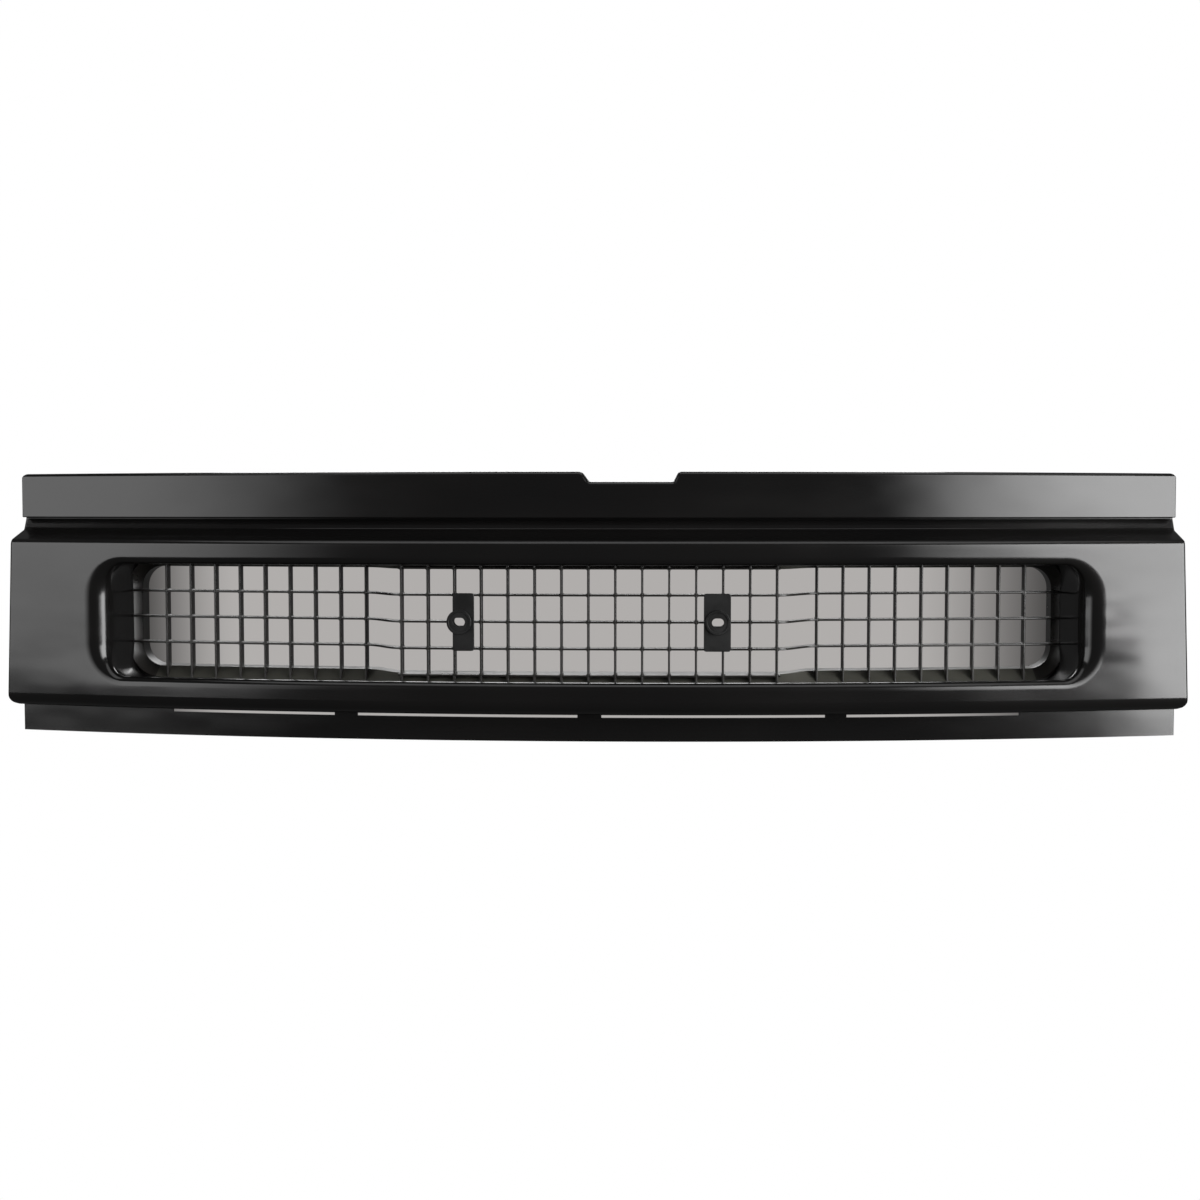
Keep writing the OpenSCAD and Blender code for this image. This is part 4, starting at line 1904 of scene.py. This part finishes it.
@dataclass(frozen=True)
class SoftPanel:
    """A soft light panel: where it stands, its size and how its light fades across it."""

    name: str
    centre: Point2
    lower_edge: tuple[Point2, ...]
    bright: float
    dim: float = 0.06
    width: float = 2.1
    top: float = 1.3

    def build(self) -> None:
        """Makes the panel, turned to face the grille and hidden from the camera."""
        x, y = self.centre
        turn = math.atan2(x, -y)
        outward = math.copysign(1.0, x)
        wide = Vector((math.cos(turn), math.sin(turn), 0.0)) * self.width * outward
        inner_end = Vector((x, y, 0.0)) - wide / 2
        edge = [*self.lower_edge, (1.0, self.top), (0.0, self.top)]
        corners = [inner_end + wide * share + Vector((0.0, 0.0, z)) for share, z in edge]
        made, shine = glowing(self.name, corners)
        made.visible_camera = False
        tree = made.data.materials[0].node_tree
        power = across(tree, 1.0 if x < 0 else 0.0, 0.5, self.dim, self.bright)
        tree.links.new(power, shine.inputs["Strength"])


@dataclass(frozen=True)
class SoftBox:
    """A rectangular area light, tilted about the line across the front."""

    name: str
    size: Point2
    energy: float
    place: tuple[float, float, float]
    tilt: float

    def build(self) -> None:
        """Adds the light."""
        light = bpy.data.lights.new(self.name, "AREA")
        light.shape = "RECTANGLE"
        light.size, light.size_y = self.size
        light.energy = self.energy
        made = bpy.data.objects.new(self.name, light)
        made.location = self.place
        made.rotation_euler = (math.radians(self.tilt), 0.0, 0.0)
        bpy.context.scene.collection.objects.link(made)


@dataclass
class Studio:
    """Floor, backdrop, lights, world and camera."""

    camera_at: tuple[float, float, float] = (0.075, -1.606, 0.111)
    camera_yaw: float = 2.28
    camera_pitch: float = 3.21
    lens: float = 52.23
    floor_z: float = -0.45
    floor_half: float = 6.0
    backdrop_x: Point2 = (-1.3, 1.14)
    backdrop_y: float = 2.5
    backdrop_z: Point2 = (-0.43, 0.03)
    backdrop_tone: str = "#b0adab"
    ambient: float = 0.07
    panels: tuple[SoftPanel, ...] = (
        SoftPanel(
            "panel_left",
            (-1.68, -1.4),
            ((0.0, -0.27), (0.5, -0.27), (0.62, -0.22), (1.0, -0.22)),
            bright=2.9,
        ),
        SoftPanel(
            "panel_right",
            (1.68, -1.4),
            ((0.0, -0.03), (0.49, -0.15), (0.53, -0.45), (1.0, -0.45)),
            bright=9.5,
        ),
    )
    boxes: tuple[SoftBox, ...] = (
        SoftBox("overhead", (2.4, 1.4), 12.0, (0.1, -0.5, 1.7), -12.0),
        SoftBox("rear", (1.9, 1.0), 44.0, (-0.15, 2.3, 1.5), -58.0),
    )

    @staticmethod
    def card(
        name: str, corners: Sequence[tuple[float, float, float]], tone: str
    ) -> tuple[bpy.types.Object, bpy.types.Node]:
        """Makes a flat card that only the camera sees.

        Args:
            name: the object's name.
            corners: four corners in metres.
            tone: its colour as an sRGB hex code.

        Returns:
            The card and the node that makes its light.
        """
        made, shine = glowing(name, corners, tone)
        made.visible_glossy = False
        made.visible_diffuse = False
        made.visible_shadow = False
        return made, shine

    @staticmethod
    def shade(card: bpy.types.Object, shine: bpy.types.Node, left: Point2, right: Point2) -> None:
        """Darkens a card towards its ends.

        Args:
            card: the card.
            shine: the node that makes its light.
            left: shares of its width where it is dark and where it is full, at the left.
            right: the same at the right.
        """
        tree = card.data.materials[0].node_tree
        ends = [across(tree, dark, full, 0.05, 1.0) for dark, full in (left, right)]
        both = add_node(tree, "ShaderNodeMath", None, dict(enumerate(ends)), operation="MULTIPLY")
        tree.links.new(both.outputs[0], shine.inputs["Strength"])

    def world(self) -> None:
        """Sets a world that is white to the camera and dim to everything else."""
        scene = bpy.context.scene
        scene.world = bpy.data.worlds.new("studio")
        scene.world.use_nodes = True
        tree = scene.world.node_tree
        tree.nodes.clear()
        ray = add_node(tree, "ShaderNodeLightPath").outputs["Is Camera Ray"]
        power = add_node(
            tree, "ShaderNodeMapRange", {"To Min": self.ambient, "To Max": 1.0}, {"Value": ray}
        ).outputs["Result"]
        white = add_node(
            tree, "ShaderNodeBackground", {"Color": (1.0, 1.0, 1.0, 1.0)}, {"Strength": power}
        )
        add_node(tree, "ShaderNodeOutputWorld", None, {"Surface": white.outputs[0]})
        scene.view_settings.view_transform = "Standard"

    def lights(self) -> None:
        """Adds the two side panels and the soft lights overhead and behind."""
        for light in (*self.panels, *self.boxes):
            light.build()

    def camera(self) -> None:
        """Adds the camera."""
        data = bpy.data.cameras.new("camera")
        data.lens, data.sensor_width = self.lens, 36.0
        data.dof.use_dof = False
        made = bpy.data.objects.new("camera", data)
        made.location = self.camera_at
        made.rotation_euler = (
            math.radians(90 - self.camera_pitch),
            0.0,
            math.radians(self.camera_yaw),
        )
        bpy.context.scene.collection.objects.link(made)
        bpy.context.scene.camera = made

    def build(self) -> None:
        """Makes the whole studio."""
        z, half = self.floor_z, self.floor_half
        floor = [(-half, -half, z), (half, -half, z), (half, half, z), (-half, half, z)]
        self.card("floor", floor, "#ffffff")
        (x1, x2), y, (z1, z2) = self.backdrop_x, self.backdrop_y, self.backdrop_z
        sheet = [(x1, y, z1), (x2, y, z1), (x2, y, z2), (x1, y, z2)]
        # Painted shade: the backdrop seen through the mesh darkens towards both ends
        self.shade(*self.card("backdrop", sheet, self.backdrop_tone), (0.02, 0.15), (0.97, 0.78))
        self.world()
        self.lights()
        self.camera()


# ---------------------------------------------------------------- assembly


def carried_over(frame: dict, palette: Palette) -> None:
    """Gives each CAD node that stays as it is a procedural finish.

    Args:
        palette: the finishes.
    """
    stays = {
        "lower_spring_clips": Slot.CLIP,
        "locating_bush_left": Slot.BUSH,
        "locating_bush_right": Slot.BUSH,
        "top_seal_left": Slot.SEAL,
        "top_seal_right": Slot.SEAL,
        "bottom_seal": Slot.SEAL,
        "end_pad_left": Slot.PAD,
        "end_pad_right": Slot.PAD,
    }
    for name, slot in stays.items():
        made = frame["nodes"][name]
        made.data.materials.clear()
        made.data.materials.append(palette[slot])
        LOG.info("%s stays from the CAD, finish %s", name, slot.value)


def main() -> None:
    """Builds the grille and its studio."""
    logging.basicConfig(level=logging.INFO, format="%(message)s")
    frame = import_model()
    palette = Palette()
    curve = PlanCurve()
    rows = ArcRow(curve)
    gloss = palette[Slot.GLOSS]
    shell = SurroundShell(curve, gloss).build()
    ribs = SurroundRibs(curve, rows, gloss).build()
    dress(join("surround_moulding", [shell, *ribs]), Slot.GLOSS, ["surround"])
    insert = MeshInsert(curve, palette[Slot.MESH], palette.sill).build()
    dress(insert, Slot.MESH, ["mesh_insert"])
    matt = palette[Slot.BRACKET]
    left = BadgeBracket(
        Side.LEFT,
        matt,
        left=-126.0,
        right=-106.0,
        hub=-120.0,
        post=-112.3,
        clamp_left=-127.5,
        clamp_right=-108.0,
    )
    right = BadgeBracket(
        Side.RIGHT,
        matt,
        left=107.0,
        right=132.0,
        hub=120.0,
        post=112.3,
        clamp_left=107.8,
        clamp_right=131.5,
    )
    for one in (left, right):
        end = one.side.name.lower()
        dress(one.bracket(), Slot.BRACKET, [f"badge_bracket_{end}"])
        dress(one.clamp(), Slot.BRACKET, [f"bracket_clamp_{end}"])
    ScrewMaker(rows, palette[Slot.SCREW]).build()
    carried_over(frame, palette)
    Studio().build()


if __name__ == "__main__":
    main()
